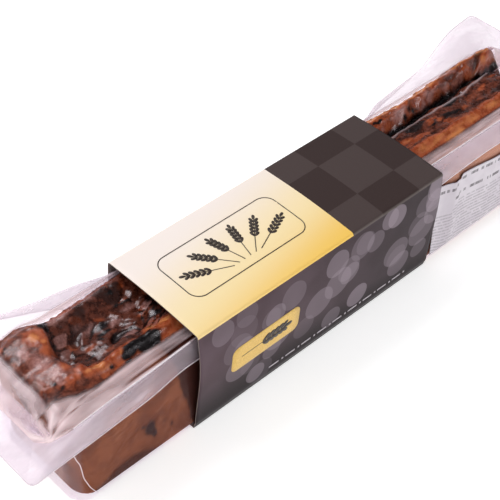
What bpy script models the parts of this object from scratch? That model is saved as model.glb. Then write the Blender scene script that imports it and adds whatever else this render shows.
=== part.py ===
"""A long baked loaf of pate in crust, sealed in clear formed film and held in an open card sleeve.

X runs along the loaf, +Y is its back and +Z is up, in metres. The sleeve stands on Z = 0.
"""

import math

import bmesh
import bpy
import numpy as np
from mathutils import Vector, noise

MM = 0.001

# The film pack. Its front rim is narrow and its back rim is broad.
PACK_LENGTH = 305 * MM
FRONT_REACH = 29.5 * MM
BACK_REACH = 45.0 * MM
FILM = 0.35 * MM
AXIS_Y = (FRONT_REACH - BACK_REACH) / 2

# The card sleeve
SLEEVE_LENGTH = 127 * MM
SLEEVE_WIDTH = 47.5 * MM
SLEEVE_HEIGHT = 50.2 * MM
SLEEVE_X = -15 * MM
CARD = 0.4 * MM
SLEEVE_START = SLEEVE_X - SLEEVE_LENGTH / 2
SLEEVE_END = SLEEVE_X + SLEEVE_LENGTH / 2

# The gap that keeps neighbours apart, and how high the film and the loaf lie in the sleeve
GAP = 0.3 * MM
FILM_FLOOR = CARD + GAP
LOAF_FLOOR = FILM_FLOOR + FILM + GAP

# The baked loaf
LOAF_LENGTH = 261 * MM
LOAF_FOOT = 22.4 * MM
LOAF_SHOULDER = 21.0 * MM
SHOULDER_Z = 36.5 * MM
CRUST_EDGE_Z = 44.8 * MM
HIGHEST_CRUST = 49.0 * MM
SHOULDER_PULL = (0.1 * MM, 0.6 * MM)
SHOULDER_SHARES = (0.3, 0.55, 0.8, 1.0)
FOOT_ROUND = 2.5 * MM
FOOT_TURNS = (30, 60, 90)
FLOOR_SHARE = 0.4
ACROSS_POINTS = 27

# The loaf's ends: the corners' radii in plan, the rounding over the edges, how much shorter the foot is
# than the crust, and how far the far end's front falls back from its ridge
CRUST_CORNER = 2.2 * MM
FOOT_CORNER = 7 * MM
END_ROUND = 2.5 * MM
END_TAPER = 1.5 * MM
END_TURNS = (32, 62, 90)
FAR_FALL = 8 * MM
FAR_FALL_START = 70 * MM
FAR_FALL_Y = (9 * MM, 19 * MM)
FAR_FALL_Z = (24 * MM, 39 * MM)
LOAF_STEPS = (11, 12, 11, 29)
LOAF_END = LOAF_LENGTH / 2 - CRUST_CORNER

# The crust's front and back edges in plan: places along X with Y
CRUST_FRONT = (
    (-130.5 * MM, -9.8 * MM),
    (-125.0 * MM, -11.0 * MM),
    (-121.5 * MM, -13.1 * MM),
    (-114.0 * MM, -14.4 * MM),
    (-100.0 * MM, -12.9 * MM),
    (SLEEVE_START, -13.5 * MM),
    (SLEEVE_END, -8.8 * MM),
    (130.5 * MM, -8.8 * MM),
)
CRUST_BACK = (
    (-130.5 * MM, 18.6 * MM),
    (-126.5 * MM, 21.8 * MM),
    (-120.5 * MM, 22.6 * MM),
    (-115.5 * MM, 21.4 * MM),
    (-110.5 * MM, 18.9 * MM),
    (-104.0 * MM, 18.9 * MM),
    (SLEEVE_START, 20.2 * MM),
    (SLEEVE_END, 20.2 * MM),
    (76.0 * MM, 19.3 * MM),
    (93.0 * MM, 20.4 * MM),
    (124.0 * MM, 21.4 * MM),
    (130.5 * MM, 20.8 * MM),
)

# The crust at its near end and at its far end. What lies between blends from one to the other.
NEAR_CRUST = {
    "plain": 45.0 * MM,
    "rim_height": 3.0 * MM,
    "rim_width": 3.2 * MM,
    "trough_depth": 1.8 * MM,
    "ridge_height": 2.4 * MM,
    "ridge_width": 4.0 * MM,
    "crease_depth": 0.6 * MM,
    "crease_y": 8.0 * MM,
    "crumple": 1.4 * MM,
}
FAR_CRUST = {
    "plain": 45.0 * MM,
    "rim_height": 1.9 * MM,
    "rim_width": 2.6 * MM,
    "trough_depth": 0.3 * MM,
    "ridge_height": 4.0 * MM,
    "ridge_width": 5.0 * MM,
    "crease_depth": 4.2 * MM,
    "crease_y": 10.5 * MM,
    "crumple": 0.8 * MM,
}
CREASE_WIDTH = 2.0 * MM
CREASE_DRIFT = 1.6 * MM
RIM_INSET = 3.4 * MM
RIDGE_INSET = 2.2 * MM
TROUGH_SHARE = 0.31
CRUMPLE_SIZE = 6.5 * MM
EDGE_SHARE = 0.35
FRONT_EDGE_WIDTH = 5 * MM
BACK_EDGE_WIDTH = 4 * MM

# The thick lip of crust along the near end
LIP_INNER_X = -114 * MM
LIP_SLOPE = 5 * MM
LIP_TOP = 47.9 * MM
LIP_WANDER = 1.5 * MM
LIP_WANDER_SIZE = 9 * MM
LIP_CRUMPLE = 0.4
LIP_KNOBS = (
    # y of its middle, half its width, height
    (12.0 * MM, 7.0 * MM, 1.1 * MM),
    (-4.5 * MM, 5.0 * MM, 0.6 * MM),
    (4.0 * MM, 2.6 * MM, -1.1 * MM),
)

# The formed pocket, as the middle of the film: half its length and width, corner radius, height
POCKET_FOOT = LOAF_FOOT + GAP + FILM / 2
POCKET_WALL = LOAF_SHOULDER + GAP + FILM / 2
POCKET_FLOOR_Z = FILM_FLOOR + FILM / 2
POCKET_RINGS = (
    (128.6 * MM, POCKET_FOOT - FOOT_ROUND, 5 * MM, POCKET_FLOOR_Z),
    (130.6 * MM, POCKET_FOOT - 0.3 * FOOT_ROUND, 6.5 * MM, POCKET_FLOOR_Z + 0.3 * FOOT_ROUND),
    (131.2 * MM, POCKET_FOOT, 7 * MM, POCKET_FLOOR_Z + FOOT_ROUND),
    (132.4 * MM, (POCKET_FOOT + POCKET_WALL) / 2, 7.5 * MM, 20 * MM),
    (133.8 * MM, POCKET_WALL, 7.5 * MM, SHOULDER_Z),
)

# Where the film folds out into its rim, and the rim's cut edge: places along X with Y and Z
FOLD_END = 141.5 * MM
FOLD_END_Z = 41 * MM
FOLD_ROUND = 5 * MM
FOLD_CORNER = FOLD_END - FOLD_ROUND
OVER_WALL = 0.7
FOLD_SHARES = (0.4, 0.75, 1.0)
CUT_END = PACK_LENGTH / 2
CUT_END_Z = 41 * MM
CUT_ROUND = 2.5 * MM
CUT_CORNER = CUT_END - CUT_ROUND
RIM_ARCH = 0.8 * MM
ARCH_PLACE = 0.6
RIM_SHARES = (0.2, 0.5, 0.8, 1.0)
CORNER_TURNS = (22.5, 45, 67.5)
QUARTERS = (0, 0.25, 0.5, 0.75, 1)
FILM_STEPS = (10, 8, 12)
IN_SLEEVE = SLEEVE_WIDTH / 2 - CARD - GAP - 1.3 * FILM
FRONT_FOLD = (
    (-FOLD_CORNER, -20.6 * MM, 42.0 * MM),
    (-131 * MM, -21.8 * MM, 43.2 * MM),
    (-112 * MM, -22.2 * MM, 45.8 * MM),
    (SLEEVE_START, -20.9 * MM, 46.3 * MM),
    (SLEEVE_END, -15.2 * MM, 46.3 * MM),
    (100 * MM, -15.3 * MM, 46.3 * MM),
    (131 * MM, -18.0 * MM, 43.6 * MM),
    (FOLD_CORNER, -18.6 * MM, 42.4 * MM),
)
BACK_FOLD = (
    (-FOLD_CORNER, 21.4 * MM, 42.0 * MM),
    (-131 * MM, 22.6 * MM, 43.2 * MM),
    (-121 * MM, 23.6 * MM, 45.0 * MM),
    (-110 * MM, 21.4 * MM, 46.2 * MM),
    (105 * MM, 21.2 * MM, 46.3 * MM),
    (124 * MM, 22.6 * MM, 44.8 * MM),
    (131 * MM, 22.4 * MM, 43.6 * MM),
    (FOLD_CORNER, 21.4 * MM, 42.4 * MM),
)
FRONT_CUT = (
    (-CUT_CORNER, -FRONT_REACH, CUT_END_Z),
    (-140 * MM, -28.3 * MM, 40.0 * MM),
    (-128 * MM, -27.0 * MM, 38.7 * MM),
    (-118 * MM, -25.9 * MM, 37.7 * MM),
    (-100 * MM, -24.6 * MM, 37.1 * MM),
    (SLEEVE_START - 2 * MM, -IN_SLEEVE, 37.1 * MM),
    (SLEEVE_START, -IN_SLEEVE, 37.1 * MM),
    (SLEEVE_END, -IN_SLEEVE, 42.2 * MM),
    (SLEEVE_END + 2 * MM, -IN_SLEEVE, 42.4 * MM),
    (86 * MM, -23.4 * MM, 45.2 * MM),
    (CUT_CORNER, -FRONT_REACH, CUT_END_Z),
)
BACK_CUT = (
    (-CUT_CORNER, BACK_REACH, CUT_END_Z),
    (-135 * MM, 43.6 * MM, 39.5 * MM),
    (-113 * MM, 39.0 * MM, 33.0 * MM),
    (-95 * MM, 34.5 * MM, 28.5 * MM),
    (SLEEVE_START - 2 * MM, IN_SLEEVE, 24.5 * MM),
    (SLEEVE_START, IN_SLEEVE, 24.5 * MM),
    (SLEEVE_END, IN_SLEEVE, 24.5 * MM),
    (SLEEVE_END + 2 * MM, IN_SLEEVE, 24.5 * MM),
    (73 * MM, 34.5 * MM, 28.5 * MM),
    (110 * MM, 39.2 * MM, 33.1 * MM),
    (137 * MM, 43.8 * MM, 40.5 * MM),
    (CUT_CORNER, BACK_REACH, CUT_END_Z),
)

# The sleeve's panels bulge over what it holds, and its lower folds are bevelled
SLEEVE_FOLD_ROUND = 1.2 * MM
SLEEVE_BEVEL_WIDTH = 1.0 * MM
SLEEVE_BEVEL_HEIGHT = 3.6 * MM
PANEL_STEPS = 6
SLEEVE_STEPS = 10
NEAR_BULGE = 1.7 * MM
FAR_BULGE = 0.7 * MM
TOP_BULGE = 0.8 * MM
BULGE_SKEW = 1.5

# The paper label on the pocket's front wall, beside the sleeve
PAPER = 0.25 * MM
LABEL_START = 52.2 * MM
LABEL_FOOT_Z = 4.2 * MM
LABEL_TOP = (
    (LABEL_START, 41.0 * MM),
    (64.8 * MM, 37.0 * MM),
    (65.4 * MM, 39.2 * MM),
    (88 * MM, 35.8 * MM),
    (118 * MM, 34.0 * MM),
)
LABEL_CREASE_X = 61 * MM
LABEL_CREASE_WIDTH = 1.6 * MM
LABEL_CREASE_HEIGHT = 0.5 * MM
LABEL_CURL = 0.6 * MM
LABEL_CURL_LENGTH = 7 * MM
LABEL_BREAKS = (LABEL_START, 59 * MM, 63 * MM, 64.8 * MM, 65.4 * MM, 118 * MM)
LABEL_STEPS = (3, 4, 1, 1, 7)
LABEL_ROWS = 6


def ease(low, high, value):
    """0 below low, 1 above high and a smooth rise between them."""
    t = min(max((value - low) / (high - low), 0.0), 1.0)
    return t * t * (3 - 2 * t)


def mix(first, second, share):
    return first + (second - first) * share


def bump(distance, width):
    return math.exp(-((distance / width) ** 2))


def smooth_line(knots, place):
    """The values at a place of a smooth line through knots, each a place with its values."""
    rows = np.array(knots, float)
    places, values = rows[:, 0], rows[:, 1:]
    steps = np.diff(places)[:, None]
    rises = np.diff(values, axis=0) / steps
    before, after = rises[:-1], rises[1:]
    product = before * after
    total = np.where(product > 0, before + after, 1.0)
    inner = np.where(product > 0, 2 * product / total, 0.0)
    slopes = np.vstack([rises[:1], inner, rises[-1:]])
    i = int(np.clip(np.searchsorted(places, place) - 1, 0, len(places) - 2))
    step = steps[i]
    t = float(np.clip((place - places[i]) / step[0], 0, 1))
    level = values[i] * (1 - 3 * t**2 + 2 * t**3) + values[i + 1] * (3 * t**2 - 2 * t**3)
    lean = slopes[i] * (t - 2 * t**2 + t**3) + slopes[i + 1] * (t**3 - t**2)
    return level + lean * step


def bezier(start, pull, end, t):
    return start * (1 - t) ** 2 + pull * 2 * t * (1 - t) + end * t**2


def stretches(breaks, counts):
    """Places from the first break to the last, with each stretch cut into its own number of steps."""
    places = [breaks[0]]
    for low, high, count in zip(breaks, breaks[1:], counts):
        places += [mix(low, high, (k + 1) / count) for k in range(count)]
    return places


# The loaf


def crust_at(x):
    """The crust's named sizes at one place along the loaf."""
    far = ease(SLEEVE_START, SLEEVE_END, x)
    return {name: mix(NEAR_CRUST[name], FAR_CRUST[name], far) for name in NEAR_CRUST}


def crumple(x, y):
    """Slow lumps and finer ridges of the baked surface, as a share of their height."""
    at = Vector((x, y, 0)) / CRUMPLE_SIZE
    ridges = 0.5 - abs(noise.noise(at * 1.9 + Vector((7, 3, 1))))
    return noise.noise(at) + 0.6 * ridges


def crust_edges(x):
    """Y of the crust's front and back edges at one place along the loaf."""
    return float(smooth_line(CRUST_FRONT, x)[0]), float(smooth_line(CRUST_BACK, x)[0])


def plain_crust(x, y, front, back):
    """The crust's height between its ends: a front rim, a trough, a crease and a back ridge."""
    size = crust_at(x)
    height = size["plain"]
    height += size["rim_height"] * bump(y - front - RIM_INSET, size["rim_width"])
    height += size["ridge_height"] * bump(y - back + RIDGE_INSET, size["ridge_width"])
    height -= size["trough_depth"] * bump(y - (front + back) / 2, (back - front) * TROUGH_SHARE)
    crease_y = size["crease_y"] + CREASE_DRIFT * ease(50 * MM, 110 * MM, x)
    deeper = 1 + 0.5 * ease(112 * MM, 126 * MM, x)
    height -= deeper * size["crease_depth"] * bump(y - crease_y, CREASE_WIDTH)
    return height


def lip_height(y):
    return LIP_TOP + sum(height * bump(y - middle, wide) for middle, wide, height in LIP_KNOBS)


def crust_height(x, y):
    """How high the top of the crust lies at (x, y)."""
    front, back = crust_edges(x)
    inside = min(ease(0, FRONT_EDGE_WIDTH, y - front), ease(0, BACK_EDGE_WIDTH, back - y))
    wander = LIP_WANDER * noise.noise(Vector((y / LIP_WANDER_SIZE, 4, 2)))
    lip = 1 - ease(LIP_INNER_X - LIP_SLOPE / 2, LIP_INNER_X + LIP_SLOPE / 2, x + wander)
    height = mix(plain_crust(x, y, front, back), lip_height(y), lip)
    height += crust_at(x)["crumple"] * crumple(x, y) * inside * mix(1, LIP_CRUMPLE, lip)
    top = mix(CRUST_EDGE_Z, height, mix(EDGE_SHARE, 1, inside))
    return min(top, HIGHEST_CRUST)


def loaf_section(x):
    """One closed outline of the loaf across X, as rows of (y, z), from the crust's front edge round."""
    outline = [(y, crust_height(x, y)) for y in np.linspace(*crust_edges(x), ACROSS_POINTS)]
    back_edge, front_edge = np.array(outline[-1]), np.array(outline[0])
    outline += side_line(back_edge, 1)
    outline += side_line(front_edge, -1)[::-1]
    return outline


def side_line(edge, side):
    """Down one side from the crust's edge: shoulder, wall and rounded foot. side is 1 at the back."""
    wall_top = np.array([side * LOAF_SHOULDER, SHOULDER_Z])
    pull = np.array([side * (LOAF_SHOULDER + SHOULDER_PULL[0]), edge[1] - SHOULDER_PULL[1]])
    line = [tuple(bezier(edge, pull, wall_top, share)) for share in SHOULDER_SHARES]
    for share in (0.5, 1.0):
        z = mix(SHOULDER_Z, LOAF_FLOOR + FOOT_ROUND, share)
        line.append((side * mix(LOAF_SHOULDER, LOAF_FOOT, share), z))
    for turn in FOOT_TURNS:
        angle = math.radians(turn)
        y = LOAF_FOOT - FOOT_ROUND * (1 - math.cos(angle))
        line.append((side * y, LOAF_FLOOR + FOOT_ROUND * (1 - math.sin(angle))))
    line.append((side * (LOAF_FOOT - FOOT_ROUND) * FLOOR_SHARE, LOAF_FLOOR))
    return line


def far_fall(x, y, z):
    """How far the crust falls back from the far end's ridge, towards the front."""
    share = (1 - ease(*FAR_FALL_Y, y)) * ease(*FAR_FALL_Z, z)
    return FAR_FALL * share * ease(FAR_FALL_START, LOAF_LENGTH / 2, x)


def loaf_ring(x, outline, turn=0):
    """The outline as points in space. turn is the angle, in degrees, round the corner of an end."""
    angle = math.radians(turn)
    middle_z = (LOAF_FLOOR + HIGHEST_CRUST) / 2
    inward = (1 - math.cos(angle)) / LOAF_FOOT
    ring = []
    for y, z in outline:
        low = 1 - ease(LOAF_FLOOR, CRUST_EDGE_Z, z)
        radius = mix(CRUST_CORNER, FOOT_CORNER, low)
        inset = END_TAPER * low + far_fall(x, y, z) + radius * (1 - math.sin(angle))
        reach = (LOAF_LENGTH / 2 - inset) / LOAF_END
        shrink_z = 1 - END_ROUND * inward
        ring.append((x * reach, y * (1 - radius * inward), middle_z + (z - middle_z) * shrink_z))
    return ring


def loaf_rings():
    breaks = (-LOAF_END, LIP_INNER_X + LIP_SLOPE, SLEEVE_START, SLEEVE_END, LOAF_END)
    near, far = loaf_section(-LOAF_END), loaf_section(LOAF_END)
    rings = [loaf_ring(-LOAF_END, near, turn) for turn in reversed(END_TURNS)]
    rings += [loaf_ring(x, loaf_section(x)) for x in stretches(breaks, LOAF_STEPS)]
    return rings + [loaf_ring(LOAF_END, far, turn) for turn in END_TURNS]


# The film


def rounded_loop(half_length, front, back, radius, end_z):
    """A closed loop round the pack. front and back give Y and Z at a place along X."""
    straight = half_length - radius
    places = stretches((-straight, SLEEVE_START - MM, SLEEVE_END + MM, straight), FILM_STEPS)
    loop = [(x, *front(x)) for x in places]
    loop += loop_end(half_length, front(straight), back(straight), radius, end_z)
    loop += [(x, *back(x)) for x in reversed(places)]
    loop += loop_end(-half_length, back(-straight), front(-straight), radius, end_z)
    return np.array(loop)


def loop_end(end, first, second, radius, end_z):
    """The loop's way round one end, from a point of one long side to a point of the other."""
    inward = math.copysign(radius, second[0] - first[0])
    span = first[0] + inward, second[0] - inward
    across = [(end, mix(*span, share), end_z) for share in QUARTERS]
    return corner(end, first, inward, end_z) + across + corner(end, second, -inward, end_z)[::-1]


def corner(end, side_point, inward, end_z):
    """Points of a quarter turn from a long side to the end, whose radius is inward's size."""
    y, z = side_point
    along = math.copysign(inward, end)
    points = []
    for turn in CORNER_TURNS:
        angle = math.radians(turn)
        x = end - along * (1 - math.sin(angle))
        points.append((x, y + inward * (1 - math.cos(angle)), mix(z, end_z, turn / 90)))
    return points


def pocket_loop(half_length, half_width, radius, z):
    return rounded_loop(half_length, lambda x: (-half_width, z), lambda x: (half_width, z), radius, z)


def knot_loop(half_length, front, back, radius, end_z):
    return rounded_loop(
        half_length,
        lambda x: tuple(smooth_line(front, x)),
        lambda x: tuple(smooth_line(back, x)),
        radius,
        end_z,
    )


def film_rings():
    """Loops from the pocket's floor up its wall, over the fold and out to the cut edge."""
    rings = [pocket_loop(*sizes) for sizes in POCKET_RINGS]
    wall = rings[-1]
    fold = knot_loop(FOLD_END, FRONT_FOLD, BACK_FOLD, FOLD_ROUND, FOLD_END_Z)
    cut = knot_loop(CUT_END, FRONT_CUT, BACK_CUT, CUT_ROUND, CUT_END_Z)
    over_wall = wall.copy()
    over_wall[:, 2] = mix(wall[:, 2], fold[:, 2], OVER_WALL)
    rings += [bezier(wall, over_wall, fold, share) for share in FOLD_SHARES]
    outward = (cut - fold) * (1, 1, 0)
    width = np.linalg.norm(outward, axis=1)[:, None]
    arch = fold + outward * (ARCH_PLACE + RIM_ARCH / width)
    rings += [bezier(fold, arch, cut, share) for share in RIM_SHARES]
    return rings


# The sleeve


def sleeve_section(x):
    """The sleeve's outer outline across X, from the front panel's foot up and round."""
    half, top = SLEEVE_WIDTH / 2, SLEEVE_HEIGHT
    near = 1 - (x - SLEEVE_START) / SLEEVE_LENGTH
    bulge = mix(FAR_BULGE, NEAR_BULGE, near**2)
    front = panel((-half, SLEEVE_BEVEL_HEIGHT), (-half, top - SLEEVE_FOLD_ROUND), bulge, BULGE_SKEW)
    lid = panel((-half + SLEEVE_FOLD_ROUND, top), (half - SLEEVE_FOLD_ROUND, top), TOP_BULGE, 1)
    back = panel((half, top - SLEEVE_FOLD_ROUND), (half, SLEEVE_BEVEL_HEIGHT), FAR_BULGE, 1)
    foot = half - SLEEVE_BEVEL_WIDTH
    floor = [(mix(foot, -foot, share), 0) for share in QUARTERS]
    return front + [fold_middle(-1)] + lid + [fold_middle(1)] + back + floor


def panel(start, end, bulge, skew):
    """Points from start to end, which bow out to the left of the way by bulge."""
    start, end = np.array(start), np.array(end)
    way = (end - start) / np.linalg.norm(end - start)
    out = np.array([-way[1], way[0]])
    points = []
    for k in range(PANEL_STEPS + 1):
        share = k / PANEL_STEPS
        bow = bulge * math.sin(math.pi * share**skew)
        points.append(tuple(mix(start, end, share) + out * bow))
    return points


def fold_middle(side):
    """The middle point of an upper fold's rounding. side is 1 at the back."""
    inset = SLEEVE_FOLD_ROUND * (1 - math.sqrt(0.5))
    return side * (SLEEVE_WIDTH / 2 - inset), SLEEVE_HEIGHT - inset


def sleeve_rings():
    places = np.linspace(SLEEVE_START, SLEEVE_END, SLEEVE_STEPS + 1)
    return [[(x, y, z) for y, z in sleeve_section(x)] for x in places]


# The label


def wall_y(z):
    """Where the middle of the film's front wall lies at this height."""
    knots = [(ring[3], ring[1]) for ring in POCKET_RINGS[2:]]
    return -float(smooth_line(knots, z)[0])


def label_point(x, share):
    z = mix(LABEL_FOOT_Z, float(smooth_line(LABEL_TOP, x)[0]), share)
    off_wall = FILM / 2 + GAP + PAPER / 2
    off_wall += LABEL_CREASE_HEIGHT * bump(x - LABEL_CREASE_X, LABEL_CREASE_WIDTH) * share
    off_wall += LABEL_CURL * (1 - ease(0, LABEL_CURL_LENGTH, x - LABEL_START)) * share
    return x, wall_y(min(z, SHOULDER_Z)) - off_wall, z


def label_rows():
    shares = np.linspace(0, 1, LABEL_ROWS + 1)
    return [[label_point(x, share) for share in shares] for x in stretches(LABEL_BREAKS, LABEL_STEPS)]


# Objects


def new_object(name, collection, bm, material):
    mesh = bpy.data.meshes.new(name)
    bm.to_mesh(mesh)
    bm.free()
    mesh.materials.append(material)
    mesh.shade_smooth()
    mesh.set_sharp_from_angle(angle=math.radians(40))
    obj = bpy.data.objects.new(name, mesh)
    collection.objects.link(obj)
    return obj


def loft(rings, first_cap, last_cap):
    """Triangles between closed loops of equal length, with a face over either end if it is capped."""
    bm = bmesh.new()
    loops = [[bm.verts.new(point) for point in ring] for ring in rings]
    for low, high in zip(loops, loops[1:]):
        for k in range(len(low)):
            bm.faces.new((low[k - 1], low[k], high[k], high[k - 1]))
    if first_cap:
        bm.faces.new(loops[0])
    if last_cap:
        bm.faces.new(loops[-1])
    return finished(bm)


def sheet(rows):
    """An open sheet through rows of points of equal length."""
    bm = bmesh.new()
    lines = [[bm.verts.new(point) for point in row] for row in rows]
    for low, high in zip(lines, lines[1:]):
        for k in range(1, len(low)):
            bm.faces.new((low[k - 1], low[k], high[k], high[k - 1]))
    return finished(bm)


def finished(bm):
    bmesh.ops.recalc_face_normals(bm, faces=bm.faces)
    bmesh.ops.triangulate(bm, faces=bm.faces)
    return bm


def thicken(obj, thickness, offset):
    """Gives a sheet its thickness. offset is 0 for both sides of the sheet and -1 for its inner side."""
    modifier = obj.modifiers.new("thickness", "SOLIDIFY")
    modifier.thickness = thickness
    modifier.offset = offset
    modifier.use_even_offset = offset != 0


def principled(name, colour, roughness, alpha=1.0):
    material = bpy.data.materials.new(name)
    material.use_nodes = True
    shader = material.node_tree.nodes["Principled BSDF"]
    shader.inputs["Base Color"].default_value = (*colour, 1)
    shader.inputs["Roughness"].default_value = roughness
    shader.inputs["Alpha"].default_value = alpha
    return material


def make_loaf(collection):
    crust = principled("baked crust", (0.27, 0.10, 0.05), 0.45)
    return new_object("loaf", collection, loft(loaf_rings(), True, True), crust)


def make_film(collection):
    clear = principled("clear film", (0.85, 0.78, 0.84), 0.12, alpha=0.3)
    film = new_object("film", collection, loft(film_rings(), True, False), clear)
    thicken(film, FILM, 0)
    return film


def make_sleeve(collection):
    card = principled("printed card", (0.07, 0.05, 0.06), 0.4)
    sleeve = new_object("sleeve", collection, loft(sleeve_rings(), False, False), card)
    thicken(sleeve, CARD, -1)
    return sleeve


def make_label(collection):
    paper = principled("label paper", (0.72, 0.66, 0.74), 0.6)
    label = new_object("label", collection, sheet(label_rows()), paper)
    thicken(label, PAPER, 0)
    return label


def main():
    for obj in list(bpy.data.objects):
        bpy.data.objects.remove(obj)
    collection = bpy.data.collections.new("loaf pack")
    bpy.context.scene.collection.children.link(collection)
    axis = bpy.data.objects.new("loaf_axis", None)
    axis.location = (0, AXIS_Y, 0)
    collection.objects.link(axis)
    for make in (make_loaf, make_film, make_sleeve, make_label):
        make(collection).parent = axis


main()
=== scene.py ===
"""The looks of a packed loaf of pate in crust: baked crust, clear film, printed card sleeve and paper label.

X runs along the loaf, +Y is its back and +Z is up, in metres.
"""

import functools
import math
import random

import bmesh
import bpy
import numpy as np
from mathutils import Euler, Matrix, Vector, noise


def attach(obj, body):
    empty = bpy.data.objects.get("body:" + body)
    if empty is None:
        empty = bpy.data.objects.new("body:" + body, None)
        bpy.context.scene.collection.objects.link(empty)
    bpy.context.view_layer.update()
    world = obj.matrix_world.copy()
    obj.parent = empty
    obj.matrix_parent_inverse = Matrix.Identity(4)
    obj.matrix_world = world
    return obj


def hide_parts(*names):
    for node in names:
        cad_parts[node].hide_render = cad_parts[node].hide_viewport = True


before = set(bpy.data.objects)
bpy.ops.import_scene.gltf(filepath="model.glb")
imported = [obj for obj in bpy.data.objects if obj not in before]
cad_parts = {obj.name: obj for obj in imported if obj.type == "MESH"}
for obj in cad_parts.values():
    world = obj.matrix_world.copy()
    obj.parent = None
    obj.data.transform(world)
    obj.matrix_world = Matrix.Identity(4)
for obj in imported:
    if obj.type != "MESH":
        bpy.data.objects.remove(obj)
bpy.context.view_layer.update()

MM = 0.001


def mm(*lengths):
    """Lengths in millimetres, as metres."""
    return tuple(length * MM for length in lengths)


def patches(*rows):
    """Rows of a patch's place and half its length and width, in millimetres, and its strength."""
    return [[*mm(*row[:-1]), row[-1]] for row in rows]


# The film pack
PACK_LENGTH = 305 * MM
FRONT_REACH = 29.5 * MM
BACK_REACH = 45.0 * MM
AXIS_Y = (FRONT_REACH - BACK_REACH) / 2
FILM = 0.12 * MM

# The card sleeve
SLEEVE_LENGTH = 127 * MM
SLEEVE_WIDTH = 47.5 * MM
SLEEVE_HEIGHT = 50.2 * MM
SLEEVE_X = -15 * MM
CARD = 0.4 * MM
SLEEVE_START = SLEEVE_X - SLEEVE_LENGTH / 2
SLEEVE_END = SLEEVE_X + SLEEVE_LENGTH / 2
# How far the fine crust and film reach into it, and how high film and loaf lie on its floor
SLEEVE_OVERLAP = 6 * MM
FILM_FLOOR = 0.7 * MM
LOAF_FLOOR = 1.35 * MM

# The baked loaf
LOAF_LENGTH = 261 * MM
LOAF_FOOT = 22.4 * MM
LOAF_SHOULDER = 21.0 * MM
SHOULDER_Z = 36.5 * MM
CRUST_EDGE_Z = 44.8 * MM
HIGHEST_CRUST = 49.2 * MM
SOFT_TOP = 1.0 * MM
LID_STEP = 1.5 * MM
FOOT_ROUND = 2.5 * MM
ACROSS = 64
SIDE_STEPS = 30

# The loaf's ends: the corners' radii in plan, the rounding over the edges, how much shorter the foot is
# than the crust, and how far the far end's front falls back from its ridge
CRUST_CORNER = 2.2 * MM
FOOT_CORNER = 7 * MM
END_ROUND = 2.5 * MM
END_TAPER = 1.5 * MM
END_TURNS = (15, 30, 45, 60, 75, 90)
FACE_SHARES = (0.9, 0.78, 0.64, 0.48, 0.3, 0.1)
FAR_FALL = 8 * MM
FAR_FALL_START = 70 * MM
FAR_FALL_Y = mm(9, 19)
FAR_FALL_Z = mm(24, 39)
LOAF_END = LOAF_LENGTH / 2 - CRUST_CORNER

# The crust's front and back edges in plan: places along X with Y
CRUST_FRONT = (
    mm(-130.5, -9.8), mm(-125.0, -11.0), mm(-121.5, -13.1), mm(-114.0, -14.4), mm(-100.0, -12.9),
    (SLEEVE_START, -13.5 * MM), (SLEEVE_END, -8.8 * MM), mm(130.5, -8.8),
)
CRUST_BACK = (
    mm(-130.5, 18.6), mm(-126.5, 21.8), mm(-120.5, 22.6), mm(-115.5, 21.4), mm(-110.5, 18.9),
    mm(-104.0, 18.9), (SLEEVE_START, 20.2 * MM), (SLEEVE_END, 20.2 * MM), mm(76.0, 19.3),
    mm(93.0, 20.4), mm(124.0, 21.4), mm(130.5, 20.8),
)

# The crust's sizes at its near end and at its far end. What lies between blends from one to the other.
CRUST = {
    "plain": mm(45.0, 45.0),
    "rim_height": mm(3.0, 1.9),
    "rim_width": mm(3.2, 2.6),
    "trough_depth": mm(1.8, 0.3),
    "ridge_height": mm(2.4, 4.0),
    "ridge_width": mm(4.0, 5.0),
    "crease_depth": mm(0.6, 4.2),
    "crease_y": mm(8.0, 10.5),
    "crumple": mm(1.0, 0.8),
}
CREASE_WIDTH = 2.0 * MM
CREASE_DRIFT = 1.6 * MM
CREASE_WANDER = 1.2 * MM
RIM_INSET = 3.4 * MM
RIDGE_INSET = 2.2 * MM
TROUGH_SHARE = 0.31
CRUMPLE_SIZE = 6.5 * MM
EDGE_SHARE = 0.35

# The thick lip of crust along the near end, whose inner edge is given as places along Y with X
LIP_INNER = (
    mm(-15, -111.0), mm(-5, -112.5), mm(-3, -115.3), mm(1, -116.9), mm(5.7, -116.4),
    mm(9.3, -114.7), mm(16, -112.5), mm(23, -112.0),
)
LIP_SLOPE = 3.4 * MM
LIP_TOP = 47.9 * MM
# Its knobs: Y of the middle, half the width, height
LIP_KNOBS = (
    mm(12.0, 7.0, 1.1), mm(-4.5, 5.0, 0.6), mm(4.0, 2.6, -1.1),
)

# Leaves of skin in the crust's near trough, and longer ones at its far end
LEAF_LENGTH = 8 * MM
LEAF_WIDTH = 5 * MM
FAR_LEAF_LENGTH = 9 * MM
FAR_LEAF_WIDTH = 2.6 * MM
LEAF_HEIGHT = 1.5 * MM
CRAG_HEIGHT = 2.0 * MM
LEAF_SHARPNESS = 16
LEAF_SLANT = 0.35
LEAN_SHIFTS = (9.3, 0.0, 6.1)

# Where the crust changes along the loaf: its near look to its far one, the lip's reach, narrower leaves and
# trough, the rim's ridges and then its threads, and the crease as it drifts and deepens
NEAR_TO_FAR = mm(-60, 20)
LIP_REACH = -100 * MM
NARROW_LEAVES = mm(-98, -84)
NARROW_TROUGH = mm(-104, -112)
RIM_RIDGES_END = mm(-104, -98)
RIM_THREADS_START = mm(-90, -82)
CREASE_DRIFTS = mm(50, 110)
CREASE_DEEPENS = mm(112, 126)

# What the crust's and the sides' marks are called, and the most that a mark may be
CRUST_MARKS = ("burnt_and_shade", "gold", "pale", "lip")
SIDE_MARKS = ("wet", "spot")
MOST_MARK = 1.5
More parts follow.
